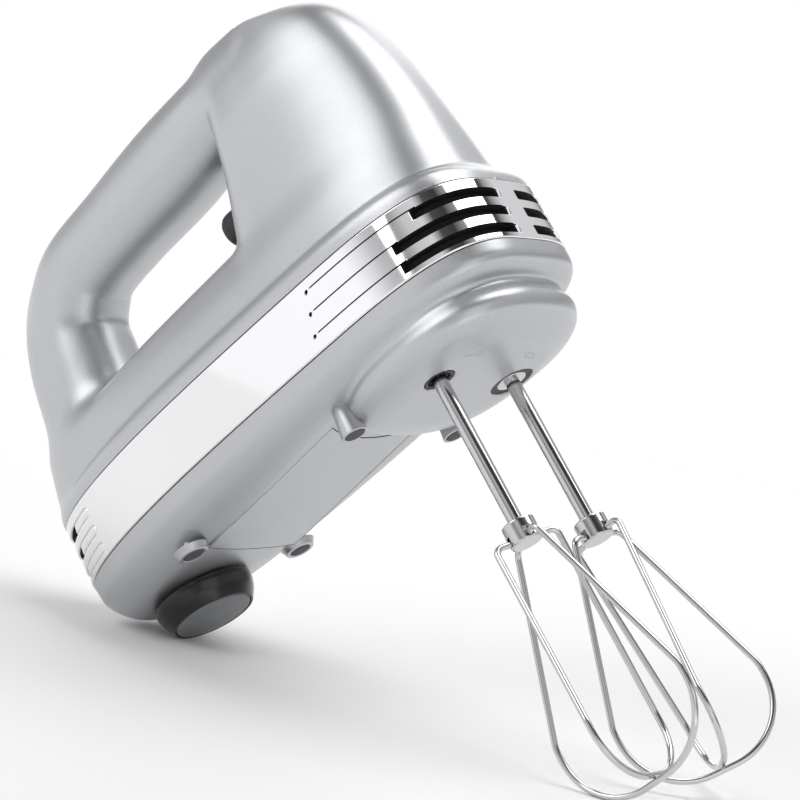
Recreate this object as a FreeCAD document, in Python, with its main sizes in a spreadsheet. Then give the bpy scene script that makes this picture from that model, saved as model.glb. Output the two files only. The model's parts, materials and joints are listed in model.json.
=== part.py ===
import FreeCAD, Part
import math
import os
import re

import Sketcher
from FreeCAD import Placement, Rotation, Vector

# A two-beater electric hand mixer.
#
# The pieces are drawn in the mixer's own axes: X runs from the heel to the nose, Y to the left and
# Z up to the handle, with the origin between the two rear feet.  At the end every piece gets the same
# Placement, which pitches the mixer nose-up until the cord hub and the lower beater touch one level plane.

DRIVING = {
    # outline of the body, seen from above
    "body_rear": -55.0,
    "body_front": 148.0,
    "body_half": 38.4,
    "widest_x": 85.0,
    "front_power": 3.3,
    "rear_power": 3.0,
    "hood_widest_x": 60.0,
    "column_widest_x": 95.0,
    "column_front_power": 2.6,
    "column_rear_power": 4.0,
    "chin_power": 2.6,
    "wall": 2.4,
    # chrome belt
    "belt_low": 18.8,
    "belt_top": 41.0,
    "belt_wall": 2.0,
    "slot_count": 3,
    "slot_low": 22.4,
    "slot_pitch": 6.6,
    "slot_tall": 3.2,
    "slot_side_x": 127.5,
    "heel_slot_x": -38.0,
    "nose_bridge": 9.0,
    # underside and chin
    "belly_low": 0.8,
    "belly_slope": 3.4,
    "chin_low": -5.4,
    # beater sockets
    "socket_x": 106.6,
    "socket_y": 19.0,
    "socket_left_radius": 7.3,
    "socket_right_radius": 5.1,
    # beaters
    "shaft_radius": 2.4,
    "shaft_top": 38.0,
    "collar_radius": 5.15,
    "collar_thick": 1.2,
    "knob_depth": 58.0,
    "knob_radius": 5.3,
    "knob_tall": 7.1,
    "wire_radius": 1.0,
    "wire_exit_depth": 56.4,
    "wire_exit_reach": 10.4,
    "pole_depth": 138.0,
    "wide_loop": 24.5,
    "narrow_loop": 19.0,
    "loop_twist": 37.0,
    "loop_azimuth": 2.0,
    "mesh_offset": 45.0,
    # posts of the gearbox base
    "post_rear_x": 87.4,
    "post_front_x": 124.2,
    "post_y": 22.0,
    "post_radius": 1.9,
    # drive
    "drive_z": 30.0,
    "worm_pitch_radius": 4.5,
    "worm_root_radius": 3.4,
    "worm_tip_radius": 5.3,
    "wheel_teeth": 29,
    "gear_module": 1.0,
    "wheel_face": 6.0,
    "tooth_thick": 1.0,
    "spindle_radius": 4.4,
    "spindle_bore": 2.5,
    "spindle_low": -2.4,
    "spindle_top": 42.5,
    "running_gap": 0.05,
    "motor_shaft_radius": 3.0,
    "rotor_radius": 13.6,
    "stator_radius": 24.0,
    "stator_rear": 10.0,
    "stator_length": 30.0,
    # release
    "release_travel": 6.0,
    "release_radius": 6.5,
    "release_z": 87.0,
    "release_face_x": 68.5,
    "release_proud": 13.0,
    # cord hub
    "hub_x": -24.1,
    "hub_rim_radius": 17.4,
    "hub_face_radius": 14.2,
    "hub_low": -9.2,
    "hub_rim_z": -0.6,
    "hub_neck_radius": 11.0,
    "cord_bore_radius": 3.0,
    # feet
    "rear_foot_y": 26.7,
    "front_foot_x": 75.1,
    "front_foot_y": 26.0,
    "front_foot_low": -4.1,
    "rear_foot_radius": 5.05,
    "rear_pad_radius": 3.6,
    "front_foot_radius": 4.4,
    "front_pad_radius": 3.5,
    # control panel on top of the handle's front end
    "panel_x": 87.0,
    "panel_z": 144.2,
    "panel_slope": 4.0,
    "panel_length": 25.0,
    "panel_width": 16.0,
    "panel_thick": 3.0,
    "button_travel": 1.0,
}

# Stations of the moulded shells: height, rear end, front end and half width of each level outline.
SHELL_STATIONS = {
    "hood": [
        (41.2, -54.5, 147.5, 37.9),
        (45.0, -54.0, 146.8, 36.0),
        (50.0, -53.0, 144.5, 31.8),
        (58.0, -52.0, 142.0, 29.5),
        (68.0, -50.5, 139.5, 25.0),
        (75.0, -48.5, 136.0, 19.0),
        (77.5, -45.0, 130.0, 13.0),
    ],
    "column": [
        (52.0, 57.0, 143.5, 29.5),
        (70.0, 61.0, 141.5, 26.5),
        (84.0, 67.5, 139.0, 23.5),
        (100.0, 71.0, 135.0, 21.0),
        (115.0, 72.5, 130.5, 19.5),
        (128.0, 73.5, 123.5, 18.0),
        (138.0, 72.5, 116.0, 15.0),
        (143.0, 73.0, 108.0, 11.5),
        (144.8, 76.0, 101.0, 7.0),
    ],
    "tub": [
        (18.6, -54.5, 147.5, 38.0),
        (13.0, -53.5, 147.5, 37.4),
        (9.0, -51.5, 145.0, 35.5),
        (5.0, -48.5, 138.0, 31.5),
        (2.0, -45.0, 128.0, 27.0),
        (0.8, -42.0, 120.0, 23.0),
    ],
    "chin": [
        (10.0, 68.0, 139.0, 33.0),
        (6.0, 68.0, 141.0, 34.5),
        (2.0, 69.0, 142.0, 35.0),
        (-2.0, 72.0, 139.5, 33.0),
        (-4.4, 76.0, 135.5, 30.5),
        (-5.4, 80.0, 132.0, 28.0),
    ],
}

# Stations of the handle loop: centre x and z, heading of its axis in degrees above +X,
# half height across the loop and half width.
GRIP_STATIONS = [
    (88.0, 130.5, 4.0, 13.5, 14.0),
    (72.0, 129.0, 6.0, 15.2, 15.0),
    (45.0, 125.2, 6.0, 16.3, 16.0),
    (15.0, 123.0, 5.0, 15.0, 15.5),
    (-6.0, 119.5, 22.0, 15.2, 15.5),
    (-20.0, 111.0, 50.0, 16.2, 16.0),
    (-27.0, 98.0, 76.0, 17.3, 16.5),
    (-30.0, 80.0, 84.0, 19.5, 18.0),
    (-31.0, 62.0, 90.0, 21.0, 20.0),
]

OUTLINE_POINTS = 24
ELLIPSE_POINTS = 16
MESH_STEP = 0.2
OVERSHOOT = 1.0
LEFT, RIGHT = 1, -1
SIDES = (("left", LEFT), ("right", RIGHT))
ALONG_X = Rotation(Vector(0, 1, 0), 90)
X_TO_Y_TO_Z = Rotation(Vector(1, 1, 1), 120)

doc = FreeCAD.newDocument("hand_mixer")
sheet = doc.addObject("Spreadsheet::Sheet", "dims")
pieces = []


# ---------------------------------------------------------------- sheet

def fill_sheet():
    """Write every driving dimension and every shell station into the sheet, and return them by name."""
    table = dict(DRIVING)
    for shell, stations in SHELL_STATIONS.items():
        for number, station in enumerate(stations):
            for field, value in zip(("level", "rear", "front", "half"), station):
                table[f"{shell}_{field}_{chr(ord('a') + number)}"] = value
    for number, station in enumerate(GRIP_STATIONS):
        for field, value in zip(("centre", "height", "heading", "tall", "half"), station):
            table[f"grip_{field}_{chr(ord('a') + number)}"] = value
    for row, (alias, value) in enumerate(table.items(), 1):
        sheet.set(f"A{row}", alias)
        sheet.set(f"B{row}", str(value))
        sheet.setAlias(f"B{row}", alias)
    doc.recompute()
    return {alias: float(sheet.get(alias)) for alias in table}


def cells(formula):
    """Turn a formula of dimension names into an expression on the sheet."""
    return re.sub(r"[a-z_][a-z_0-9]*", r"dims.\g<0>", formula)


def bind(item, **sizes):
    for prop, formula in sizes.items():
        item.setExpression(prop, cells(formula))
    return item


D = fill_sheet()
SOCKETS = {side: Vector(D["socket_x"], sign * D["socket_y"], 0) for side, sign in SIDES}


# ---------------------------------------------------------------- building blocks

def at(x, y, z, turn=None):
    return Placement(Vector(x, y, z), turn or Rotation())


def box(name, length, width, height, place):
    item = doc.addObject("Part::Box", name)
    item.Placement = place
    return bind(item, Length=length, Width=width, Height=height)


def rod(name, radius, height, place):
    item = doc.addObject("Part::Cylinder", name)
    item.Placement = place
    return bind(item, Radius=radius, Height=height)


def taper(name, radius_low, radius_top, height, place):
    item = doc.addObject("Part::Cone", name)
    item.Placement = place
    return bind(item, Radius1=radius_low, Radius2=radius_top, Height=height)


def fuse(name, *parts):
    item = doc.addObject("Part::MultiFuse", name)
    item.Shapes = list(parts)
    return item


def cut(name, base, *tools):
    item = doc.addObject("Part::Cut", name)
    item.Base = base
    item.Tool = tools[0] if len(tools) == 1 else fuse(name + "_tools", *tools)
    return item


def common(name, base, tool):
    item = doc.addObject("Part::Common", name)
    item.Base = base
    item.Tool = tool
    return item


def tube(name, outer, inner, height, place):
    return cut(name, rod(name + "_outer", outer, height, place), rod(name + "_inner", inner, height, place))


def solid(name, shape):
    item = doc.addObject("Part::Feature", name)
    item.Shape = shape
    return item


def piece(label, item):
    """Register a finished sub-part under the name of its node."""
    item.Label = label
    pieces.append(item)
    return item


def grouped(label, items):
    """Register several alike solids as one sub-part."""
    group = doc.addObject("Part::Compound", label)
    group.Links = list(items)
    return piece(label, group)


def sketch_polygon(body, role, corners):
    """Closed sketch on an origin plane: each corner's two distances are bound to the sheet."""
    sketch = body.newObject("Sketcher::SketchObject", body.Name + "_sketch")
    plane = next(item for item in body.Origin.OriginFeatures if item.Role == role)
    sketch.AttachmentSupport = [(plane, "")]
    sketch.MapMode = "FlatFace"
    guesses = [tuple(value_of(formula) for formula in corner) for corner in corners]
    for first, second in zip(guesses, guesses[1:] + guesses[:1]):
        sketch.addGeometry(Part.LineSegment(Vector(*first, 0), Vector(*second, 0)), False)
    for number in range(len(corners)):
        following = (number + 1) % len(corners)
        sketch.addConstraint(Sketcher.Constraint("Coincident", number, 2, following, 1))
    for number, corner in enumerate(corners):
        for kind, formula, guess in zip(("DistanceX", "DistanceY"), corner, guesses[number]):
            index = sketch.addConstraint(Sketcher.Constraint(kind, -1, 1, number, 1, guess))
            if re.search("[a-z]", formula):
                sketch.setExpression(f"Constraints[{index}]", cells(formula))
    return sketch


def value_of(formula):
    """Value of a sum or difference of dimension names and plain numbers."""
    total = 0.0
    for sign, term in re.findall(r"([+-]?)\s*([a-z_0-9.]+)", formula):
        amount = D[term] if term in D else float(term)
        total += -amount if sign == "-" else amount
    return total


def revolved(name, corners, place):
    """PartDesign body turned about its own Z axis from a half profile of radius and height."""
    body = doc.addObject("PartDesign::Body", name)
    turn = body.newObject("PartDesign::Revolution", name + "_turn")
    turn.Profile = sketch_polygon(body, "XZ_Plane", corners)
    turn.ReferenceAxis = (turn.Profile[0], ["V_Axis"])
    turn.Angle = 360
    body.Tip = turn
    body.Placement = place
    return body


def padded(name, corners, height, place, edge_radius=None):
    """PartDesign body: a polygon on XY, padded upwards, with rounded upright edges."""
    body = doc.addObject("PartDesign::Body", name)
    pad = body.newObject("PartDesign::Pad", name + "_pad")
    pad.Profile = sketch_polygon(body, "XY_Plane", corners)
    bind(pad, Length=height)
    body.Tip = pad
    body.Placement = place
    doc.recompute()
    if edge_radius:
        upright = [f"Edge{number}" for number, edge in enumerate(pad.Shape.Edges, 1)
                   if abs(edge.tangentAt(edge.FirstParameter).z) > 0.99]
        rounding = body.newObject("PartDesign::Fillet", name + "_rounding")
        rounding.Base = (pad, upright)
        bind(rounding, Radius=edge_radius)
        body.Tip = rounding
    return body


def rectangle(length, width):
    """Corners of a rectangle centred on the origin, as formulas."""
    return [(f"-{length}", f"-{width}"), (length, f"-{width}"), (length, width), (f"-{length}", width)]


# ---------------------------------------------------------------- moulded shells

def outline(level, rear, front, half, widest, front_power, rear_power):
    """Level outline: a squarish ellipse in front of the widest point and another behind it."""
    points = []
    for number in range(OUTLINE_POINTS):
        angle = 2 * math.pi * number / OUTLINE_POINTS
        along, across = math.cos(angle), math.sin(angle)
        power = front_power if along >= 0 else rear_power
        reach = (front - widest) if along >= 0 else (widest - rear)
        scale = (abs(along) ** power + abs(across) ** power) ** (-1 / power)
        points.append(Vector(widest + reach * along * scale, half * across * scale, level))
    curve = Part.BSplineCurve()
    curve.interpolate(Points=points, PeriodicFlag=True)
    return Part.Wire([curve.toShape()])


def shell_stations(shell):
    names = [chr(ord("a") + number) for number in range(len(SHELL_STATIONS[shell]))]
    return [tuple(D[f"{shell}_{field}_{name}"] for field in ("level", "rear", "front", "half")) for name in names]


def lofted(shell, inset, widest, front_power, rear_power, open_end=0.0):
    """Loft of a shell's stations.  An inset gives the hollow inside; open_end carries it past its mouth."""
    stations = shell_stations(shell)
    rising = 1 if stations[-1][0] > stations[0][0] else -1
    wires = []
    for number, (level, rear, front, half) in enumerate(stations):
        if inset and number == 0:
            level -= rising * open_end
        level -= rising * inset * (number / (len(stations) - 1)) ** 2
        wires.append(outline(level, rear + inset, front - inset, half - inset, widest, front_power, rear_power))
    return Part.makeLoft(wires, True, False)


def ellipse(centre_x, centre_z, heading, tall, half):
    """Section of the handle loop, square to its heading."""
    lean = math.radians(heading)
    upward = Vector(-math.sin(lean), 0, math.cos(lean))
    points = []
    for number in range(ELLIPSE_POINTS):
        angle = 2 * math.pi * number / ELLIPSE_POINTS
        points.append(Vector(centre_x, 0, centre_z) + upward * (tall * math.cos(angle))
                      + Vector(0, half * math.sin(angle), 0))
    curve = Part.BSplineCurve()
    curve.interpolate(Points=points, PeriodicFlag=True)
    return Part.Wire([curve.toShape()])


def handle_loop(inset):
    wires = []
    for number in range(len(GRIP_STATIONS)):
        name = chr(ord("a") + number)
        centre, height, heading = (D[f"grip_{field}_{name}"] for field in ("centre", "height", "heading"))
        tall, half = D[f"grip_tall_{name}"] - inset, D[f"grip_half_{name}"] - inset
        wires.append(ellipse(centre, height, heading, tall, half))
    return Part.makeLoft(wires, True, False)


def hood_shape(inset):
    """Deck over the motor, front column and handle loop, joined."""
    deck = lofted("hood", inset, D["hood_widest_x"], D["front_power"], D["rear_power"], open_end=OVERSHOOT)
    column = lofted("column", inset, D["column_widest_x"], D["column_front_power"], D["column_rear_power"])
    return deck.fuse(column).fuse(handle_loop(inset))


def panel_place(along=0.0, across=0.0, rise=0.0):
    """Placement on the sloping panel: along it towards the nose, across it, and above its face."""
    slope = Rotation(Vector(0, 1, 0), D["panel_slope"])
    origin = Vector(D["panel_x"], 0, D["panel_z"])
    return Placement(origin + slope.multVec(Vector(along, across, rise)), slope)


def make_upper_housing():
    skin = solid("hood_outside", hood_shape(0.0))
    hollow = solid("hood_inside", hood_shape(D["wall"]))
    opening_depth = 12.0
    panel_hole = box("panel_hole", "panel_length", "panel_width", "panel_thick + 12",
                     panel_place(-D["panel_length"] / 2, -D["panel_width"] / 2, -opening_depth))
    release_hole = rod("release_hole", "release_radius + 0.35", "12",
                       at(D["release_face_x"] - 6, 0, D["release_z"], ALONG_X))
    piece("upper_housing", cut("upper_housing", skin, hollow, panel_hole, release_hole))


def belly_wedge(name, lift):
    """Everything below the sloping underside, raised by lift."""
    side = 400.0
    slope = Rotation(Vector(0, 1, 0), -D["belly_slope"])
    corner = slope.multVec(Vector(-side / 2, -side / 2, -side))
    return box(name, str(side), str(side), str(side),
               Placement(corner + Vector(0, 0, D["belly_low"] + lift), slope))


def belly_z(x):
    return D["belly_low"] + x * math.tan(math.radians(D["belly_slope"]))


def make_lower_housing():
    tub = cut("tub_trimmed", solid("tub_outside", lofted("tub", 0, D["widest_x"], D["front_power"],
                                                         D["rear_power"])), belly_wedge("belly_under", 0))
    chin = solid("chin_outside", lofted("chin", 0, D["socket_x"], D["chin_power"], D["chin_power"]))
    feet = []
    for side, sign in SIDES:
        front_y, rear_y = sign * D["front_foot_y"], sign * D["rear_foot_y"]
        feet.append(taper(f"front_stud_{side}", "front_foot_radius", "front_foot_radius - 1.4", "13",
                          at(D["front_foot_x"], front_y, D["front_foot_low"])))
        feet.append(rod(f"rear_ring_{side}", "rear_foot_radius", "4", at(0, rear_y, 0)))
    outside = fuse("tub_outside_all", tub, chin, *feet)

    wall = D["wall"]
    inner_tub = cut("tub_inside_trimmed", solid("tub_inside", lofted("tub", wall, D["widest_x"], D["front_power"],
                                                                     D["rear_power"], open_end=OVERSHOOT)),
                    belly_wedge("belly_over", wall))
    inner_chin = solid("chin_inside", lofted("chin", wall, D["socket_x"], D["chin_power"], D["chin_power"],
                                             open_end=3.4))
    holes = [rod(f"socket_hole_{side}", f"socket_{side}_radius", "wall + 3",
                 at(SOCKETS[side].x, SOCKETS[side].y, D["chin_low"] - OVERSHOOT)) for side, _ in SIDES]
    for side, sign in SIDES:
        holes.append(rod(f"front_pad_seat_{side}", "front_pad_radius", "1.4",
                         at(D["front_foot_x"], sign * D["front_foot_y"], D["front_foot_low"] - 0.2)))
        holes.append(rod(f"rear_pad_seat_{side}", "rear_pad_radius", "1.6",
                         at(0, sign * D["rear_foot_y"], -0.2)))
    holes.append(rod("hub_hole", "hub_neck_radius + 0.4", "14", at(D["hub_x"], 0, -6)))
    hub_dish = rod("hub_dish", "hub_rim_radius + 0.4", "6", at(D["hub_x"], 0, D["hub_rim_z"] - 5.2))
    plate_seat = box("plate_seat", "60.4", "42.4", "1.6",
                     Placement(Vector(5.8, -21.2, belly_z(5.8) - 0.2), Rotation(Vector(0, 1, 0), -D["belly_slope"])))
    shell = cut("tub_hollow", outside, inner_tub, inner_chin)
    bosses, screw_holes = [], []
    for number, (x, y, level) in enumerate(foot_spots()):
        bosses.append(rod(f"boss_{number}", "3.6", "37", at(x, y, 2.6)))
        screw_holes.append(rod(f"screw_hole_{number}", "1.5", "50", at(x, y, level)))
        screw_holes.append(rod(f"screw_seat_{number}", "2.5", "2.0", at(x, y, level - 0.2)))
    with_bosses = fuse("tub_with_bosses", shell, *bosses)
    piece("lower_housing", cut("lower_housing", with_bosses, hub_dish, plate_seat, *holes, *screw_holes))


def make_bottom_cover():
    slope = Rotation(Vector(0, 1, 0), -D["belly_slope"])
    centre = Vector(36.0, 0, belly_z(36.0) + 0.1)
    piece("bottom_cover", padded("bottom_cover_body", rectangle("30", "21"), "1.2", Placement(centre, slope), "3"))


def make_belt():
    low, tall = D["belt_low"], D["belt_top"] - D["belt_low"]
    shape_args = (D["body_rear"], D["body_front"], D["body_half"])
    inset = D["belt_wall"]
    outer = Part.Face(outline(low, *shape_args, D["widest_x"], D["front_power"], D["rear_power"]))
    inner = Part.Face(outline(low, D["body_rear"] + inset, D["body_front"] - inset, D["body_half"] - inset,
                              D["widest_x"], D["front_power"], D["rear_power"]))
    ring = solid("belt_ring", outer.cut(inner).extrude(Vector(0, 0, tall)))
    slots = []
    for number in range(int(D["slot_count"])):
        level = D["slot_low"] + number * D["slot_pitch"] - D["slot_tall"] / 2
        for side, sign in SIDES:
            near = D["nose_bridge"] / 2 if sign > 0 else -D["nose_bridge"] / 2 - 50
            slots.append(box(f"nose_slot_{side}_{number}", "40", "50", "slot_tall", at(D["slot_side_x"], near, level)))
        slots.append(box(f"heel_slot_{number}", "40", "100", "slot_tall", at(D["heel_slot_x"] - 40, -50, level)))
    piece("belt_trim", cut("belt_trim", ring, *slots))


def make_pads():
    for side, sign in SIDES:
        piece(f"foot_pad_front_{side}", rod(f"pad_front_{side}", "front_pad_radius", "1.3",
                                            at(D["front_foot_x"], sign * D["front_foot_y"], D["front_foot_low"] - 0.1)))
        piece(f"foot_pad_rear_{side}", rod(f"pad_rear_{side}", "rear_pad_radius", "1.5",
                                           at(0, sign * D["rear_foot_y"], -0.1)))


# ---------------------------------------------------------------- beaters

def corner_arcs(points, radii):
    """Straight runs joined by tangent arcs, one radius for each inner corner."""
    edges = []
    start = points[0]
    for before, corner, after, radius in zip(points, points[1:], points[2:], radii):
        back = (before - corner).normalize()
        ahead = (after - corner).normalize()
        half_angle = back.getAngle(ahead) / 2
        trim = radius / math.tan(half_angle)
        middle = (back + ahead).normalize() * (radius / math.sin(half_angle) - radius)
        arc_from, arc_to = corner + back * trim, corner + ahead * trim
        edges.append(Part.LineSegment(start, arc_from).toShape())
        edges.append(Part.Arc(arc_from, corner + middle, arc_to).toShape())
        start = arc_to
    edges.append(Part.LineSegment(start, points[-1]).toShape())
    return Part.Wire(edges)


def loop_points(reach, azimuth, twist, inner_depth):
    """Corners of one wire loop: out of the knob, down the twisted legs and round under the pole."""
    def polar(radius, angle, depth):
        return Vector(radius * math.cos(math.radians(angle)), radius * math.sin(math.radians(angle)),
                      D["chin_low"] - depth)
    root = D["shaft_radius"] + 0.4
    pole = inner_depth
    knee = pole - reach
    leg = [
        polar(root, azimuth - twist, D["wire_exit_depth"]),
        polar(D["wire_exit_reach"], azimuth - twist, D["wire_exit_depth"]),
        polar(reach, azimuth, knee),
        polar(reach, azimuth, pole),
    ]
    mirrored = [Vector(-corner.x, -corner.y, corner.z) for corner in reversed(leg)]
    return leg + mirrored


def beater_angles(side):
    """Azimuth of the wide loop's foot, and the twist from knob to foot.

    The left beater is the right one's mirror image, turned half a tooth gap so that the loops pass
    between each other."""
    if side == "right":
        return D["loop_azimuth"], D["loop_twist"]
    return D["mesh_offset"] - D["loop_azimuth"], -D["loop_twist"]


def wire_loop(name, side, reach, azimuth, twist, depth):
    bend, foot = 2.6, reach * 0.84
    radii = (bend, reach * 0.5, foot, foot, reach * 0.5, bend)
    points = [corner + SOCKETS[side] for corner in loop_points(reach, azimuth, twist, depth)]
    path = corner_arcs(points, radii)
    profile = Part.Wire([Part.makeCircle(D["wire_radius"], points[0], points[1] - points[0])])
    return piece(name, solid(name, path.makePipeShell([profile], True, False)))


def make_beater(side):
    place = SOCKETS[side]
    azimuth, twist = beater_angles(side)
    knob_low = D["chin_low"] - D["knob_depth"]
    blind = 1.4

    stem = rod(f"stem_{side}", "shaft_radius", "shaft_top - chin_low + knob_depth - 1.4",
               at(place.x, place.y, knob_low + blind))
    lugs = [box(f"lug_{number}_{side}", "6.8", "1.2", "5", at(*(place + turn.multVec(Vector(-3.4, -0.6, 0)))[:2],
                                                              0.4, turn))
            for number, turn in enumerate((Rotation(), Rotation(Vector(0, 0, 1), 90)))]
    piece(f"beater_shaft_{side}", fuse(f"beater_shaft_{side}", stem, *lugs))

    knob = rod(f"knob_{side}", "knob_radius", "knob_tall", at(place.x, place.y, knob_low))
    seat = rod(f"knob_seat_{side}", "shaft_radius", "knob_tall", at(place.x, place.y, knob_low + blind))
    slots = []
    slot_long, slot_wide, slot_low = 14.0, 2 * D["wire_radius"] + 0.1, knob_low + 0.5
    for number in range(2):
        turn = Rotation(Vector(0, 0, 1), azimuth - twist + 90 * number)
        corner = place + turn.multVec(Vector(-slot_long / 2, -slot_wide / 2, 0))
        slots.append(box(f"knob_slot_{number}_{side}", str(slot_long), str(slot_wide), "3.6",
                         at(corner.x, corner.y, slot_low, turn)))
    ring = cut(f"knob_slotted_{side}", knob, seat, *slots)
    piece(f"beater_knob_{side}", ring)

    wire_loop(f"beater_wide_loop_{side}", side, D["wide_loop"], azimuth, twist, D["pole_depth"])
    wire_loop(f"beater_narrow_loop_{side}", side, D["narrow_loop"], azimuth + 90, twist,
              D["pole_depth"] - 2 * D["wire_radius"])


def make_collar():
    """Only the left shaft carries a collar, which keeps it out of the smaller right socket."""
    place = SOCKETS["left"]
    piece("beater_collar_left", tube("beater_collar_left", "collar_radius", "shaft_radius", "collar_thick",
                                     at(place.x, place.y, D["chin_low"] + 0.5)))


# ---------------------------------------------------------------- gear train

def wheel_wire(level, turn):
    """One level of the worm wheel's toothed rim, as straight edges."""
    pitch_radius = D["wheel_teeth"] * D["gear_module"] / 2
    root, tip = pitch_radius - 1.1, pitch_radius + 0.8
    flank = math.tan(math.radians(20))
    corners = []
    for tooth in range(int(D["wheel_teeth"])):
        centre = turn + 2 * math.pi * tooth / D["wheel_teeth"]
        for radius, side in ((root, -1), (tip, -1), (tip, 1), (root, 1)):
            half = D["tooth_thick"] / 2 + (pitch_radius - radius) * flank
            angle = centre + side * half / radius
            corners.append(Vector(radius * math.cos(angle), radius * math.sin(angle), level))
    return Part.makePolygon(corners + corners[:1])


def make_wheel(side, sign):
    """The teeth follow the worm's lead angle.  A tooth of the right wheel, and a gap of the left one,
    faces the worm at rest, because the thread stands half a pitch further along on its far side."""
    place = SOCKETS[side]
    pitch_radius = D["wheel_teeth"] * D["gear_module"] / 2
    face = D["wheel_face"]
    lead = math.pi * D["gear_module"]
    slope = lead / (2 * math.pi * D["worm_pitch_radius"])
    facing = -sign * math.pi / 2
    phase = facing + (math.pi / D["wheel_teeth"] if sign > 0 else 0.0)
    levels = (-face / 2, 0.0, face / 2)
    wires = [wheel_wire(level, phase + slope * level / pitch_radius) for level in levels]
    rim = Part.makeLoft(wires, True, True)
    rim.translate(Vector(place.x, place.y, D["drive_z"]))
    bore = rod(f"wheel_bore_{side}", "spindle_radius", "wheel_face + 2",
               at(place.x, place.y, D["drive_z"] - face / 2 - 1))
    piece(f"worm_wheel_{side}", cut(f"worm_wheel_{side}", solid(f"wheel_rim_{side}", rim), bore))


def make_spindle(side):
    place = SOCKETS[side]
    stem = tube(f"spindle_tube_{side}", "spindle_radius", "spindle_bore", "spindle_top - spindle_low",
                at(place.x, place.y, D["spindle_low"]))
    slots = []
    for number, turn in enumerate((Rotation(), Rotation(Vector(0, 0, 1), 90))):
        corner = place + turn.multVec(Vector(-6, -0.8, 0))
        slots.append(box(f"spindle_slot_{number}_{side}", "12", "1.6", "8.4",
                         at(corner.x, corner.y, D["spindle_low"] - 0.2, turn)))
    piece(f"drive_spindle_{side}", cut(f"drive_spindle_{side}", stem, *slots))
    piece(f"ejector_pin_{side}", rod(f"ejector_pin_{side}", "spindle_bore - 0.1", "11.4",
                                     at(place.x, place.y, D["shaft_top"] + 0.2)))


def make_bearings(side):
    place = SOCKETS[side]
    fit = "spindle_radius + running_gap"
    piece(f"lower_bushing_{side}", tube(f"lower_bushing_{side}", "6.2", fit, "5", at(place.x, place.y, 8.6)))
    piece(f"upper_bushing_{side}", tube(f"upper_bushing_{side}", "6.2", fit, "4", at(place.x, place.y, 36.4)))
    ring_low = D["chin_low"] + (2.0 if side == "left" else 0.4)
    piece(f"socket_ring_{side}", tube(f"socket_ring_{side}", f"socket_{side}_radius", "3.8", "0.8",
                                      at(place.x, place.y, ring_low)))


def make_gearbox():
    base = box("gear_base_plate", "42", "48", "3", at(84.5, -24, 9.6))
    posts = []
    for side, sign in SIDES:
        for end in ("rear", "front"):
            posts.append(rod(f"post_{side}_{end}", "post_radius", "23.4",
                             at(D[f"post_{end}_x"], sign * D["post_y"], 12.6)))
    boss = box("worm_boss", "5", "10", "22", at(120.5, -5, 12.6))
    frame = fuse("gear_base_solid", base, boss, *posts)
    holes = [rod(f"base_seat_{side}", "6.2", "8", at(SOCKETS[side].x, SOCKETS[side].y, 7)) for side, _ in SIDES]
    holes.append(rod("worm_end_seat", "motor_shaft_radius + running_gap", "8",
                     at(119, 0, D["drive_z"], ALONG_X)))
    piece("gearbox_base", cut("gearbox_base", frame, *holes))

    bridge = box("bridge_plate", "42", "48", "3", at(84.5, -24, 36.0))
    seats = [rod(f"bridge_seat_{side}", "6.2", "8", at(SOCKETS[side].x, SOCKETS[side].y, 34)) for side, _ in SIDES]
    piece("gearbox_bridge", cut("gearbox_bridge", bridge, *seats))


# ---------------------------------------------------------------- motor

def motor_at(x):
    return at(x, 0, D["drive_z"], ALONG_X)


def make_motor_shaft():
    """Shaft and worm in one: the thread is a trapezium swept along a right-hand helix."""
    lead = math.pi * D["gear_module"]
    turns = 6
    root, tip, pitch = D["worm_root_radius"], D["worm_tip_radius"], D["worm_pitch_radius"]
    flank = math.tan(math.radians(20))
    buried = root - 0.5
    half_low = D["tooth_thick"] / 2 + (pitch - buried) * flank
    half_top = D["tooth_thick"] / 2 - (tip - pitch) * flank
    helix = Part.makeHelix(lead, lead * turns, pitch)
    corners = [Vector(buried, 0, -half_low), Vector(tip, 0, -half_top), Vector(tip, 0, half_top),
               Vector(buried, 0, half_low)]
    profile = Part.makePolygon(corners + corners[:1])
    thread = Part.Wire(helix.Edges).makePipeShell([profile], True, True)
    thread.Placement = Placement(Vector(D["socket_x"] - lead * turns / 2, 0, D["drive_z"]), X_TO_Y_TO_Z)
    core = rod("worm_core", "worm_root_radius", "24", motor_at(D["socket_x"] - 12))
    axle = rod("motor_axle", "motor_shaft_radius", "163", motor_at(-38))
    piece("motor_shaft", fuse("motor_shaft", axle, core, solid("worm_thread", thread)))


def make_rotor():
    piece("rotor_core", tube("rotor_core", "rotor_radius", "motor_shaft_radius", "stator_length", motor_at(10)))
    ends = [tube(f"winding_{name}", "rotor_radius - 1.8", "motor_shaft_radius", "7", motor_at(x))
            for name, x in (("rear", 3.0), ("front", 40.0))]
    grouped("rotor_windings", ends)
    piece("commutator", tube("commutator", "9", "motor_shaft_radius", "13", motor_at(-12)))
    disc = tube("fan_disc", "20", "motor_shaft_radius", "1.2", motor_at(51))
    blades = []
    blade_count = 9
    for number in range(blade_count):
        turn = Rotation(Vector(1, 0, 0), 360 * number / blade_count)
        corner = turn.multVec(Vector(0, 6, -0.5))
        blades.append(box(f"fan_blade_{number}", "6", "14", "1.0", at(52, corner.y, D["drive_z"] + corner.z, turn)))
    piece("cooling_fan", fuse("cooling_fan", disc, tube("fan_boss", "6.5", "motor_shaft_radius", "7.2", motor_at(51)),
                              *blades))


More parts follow.
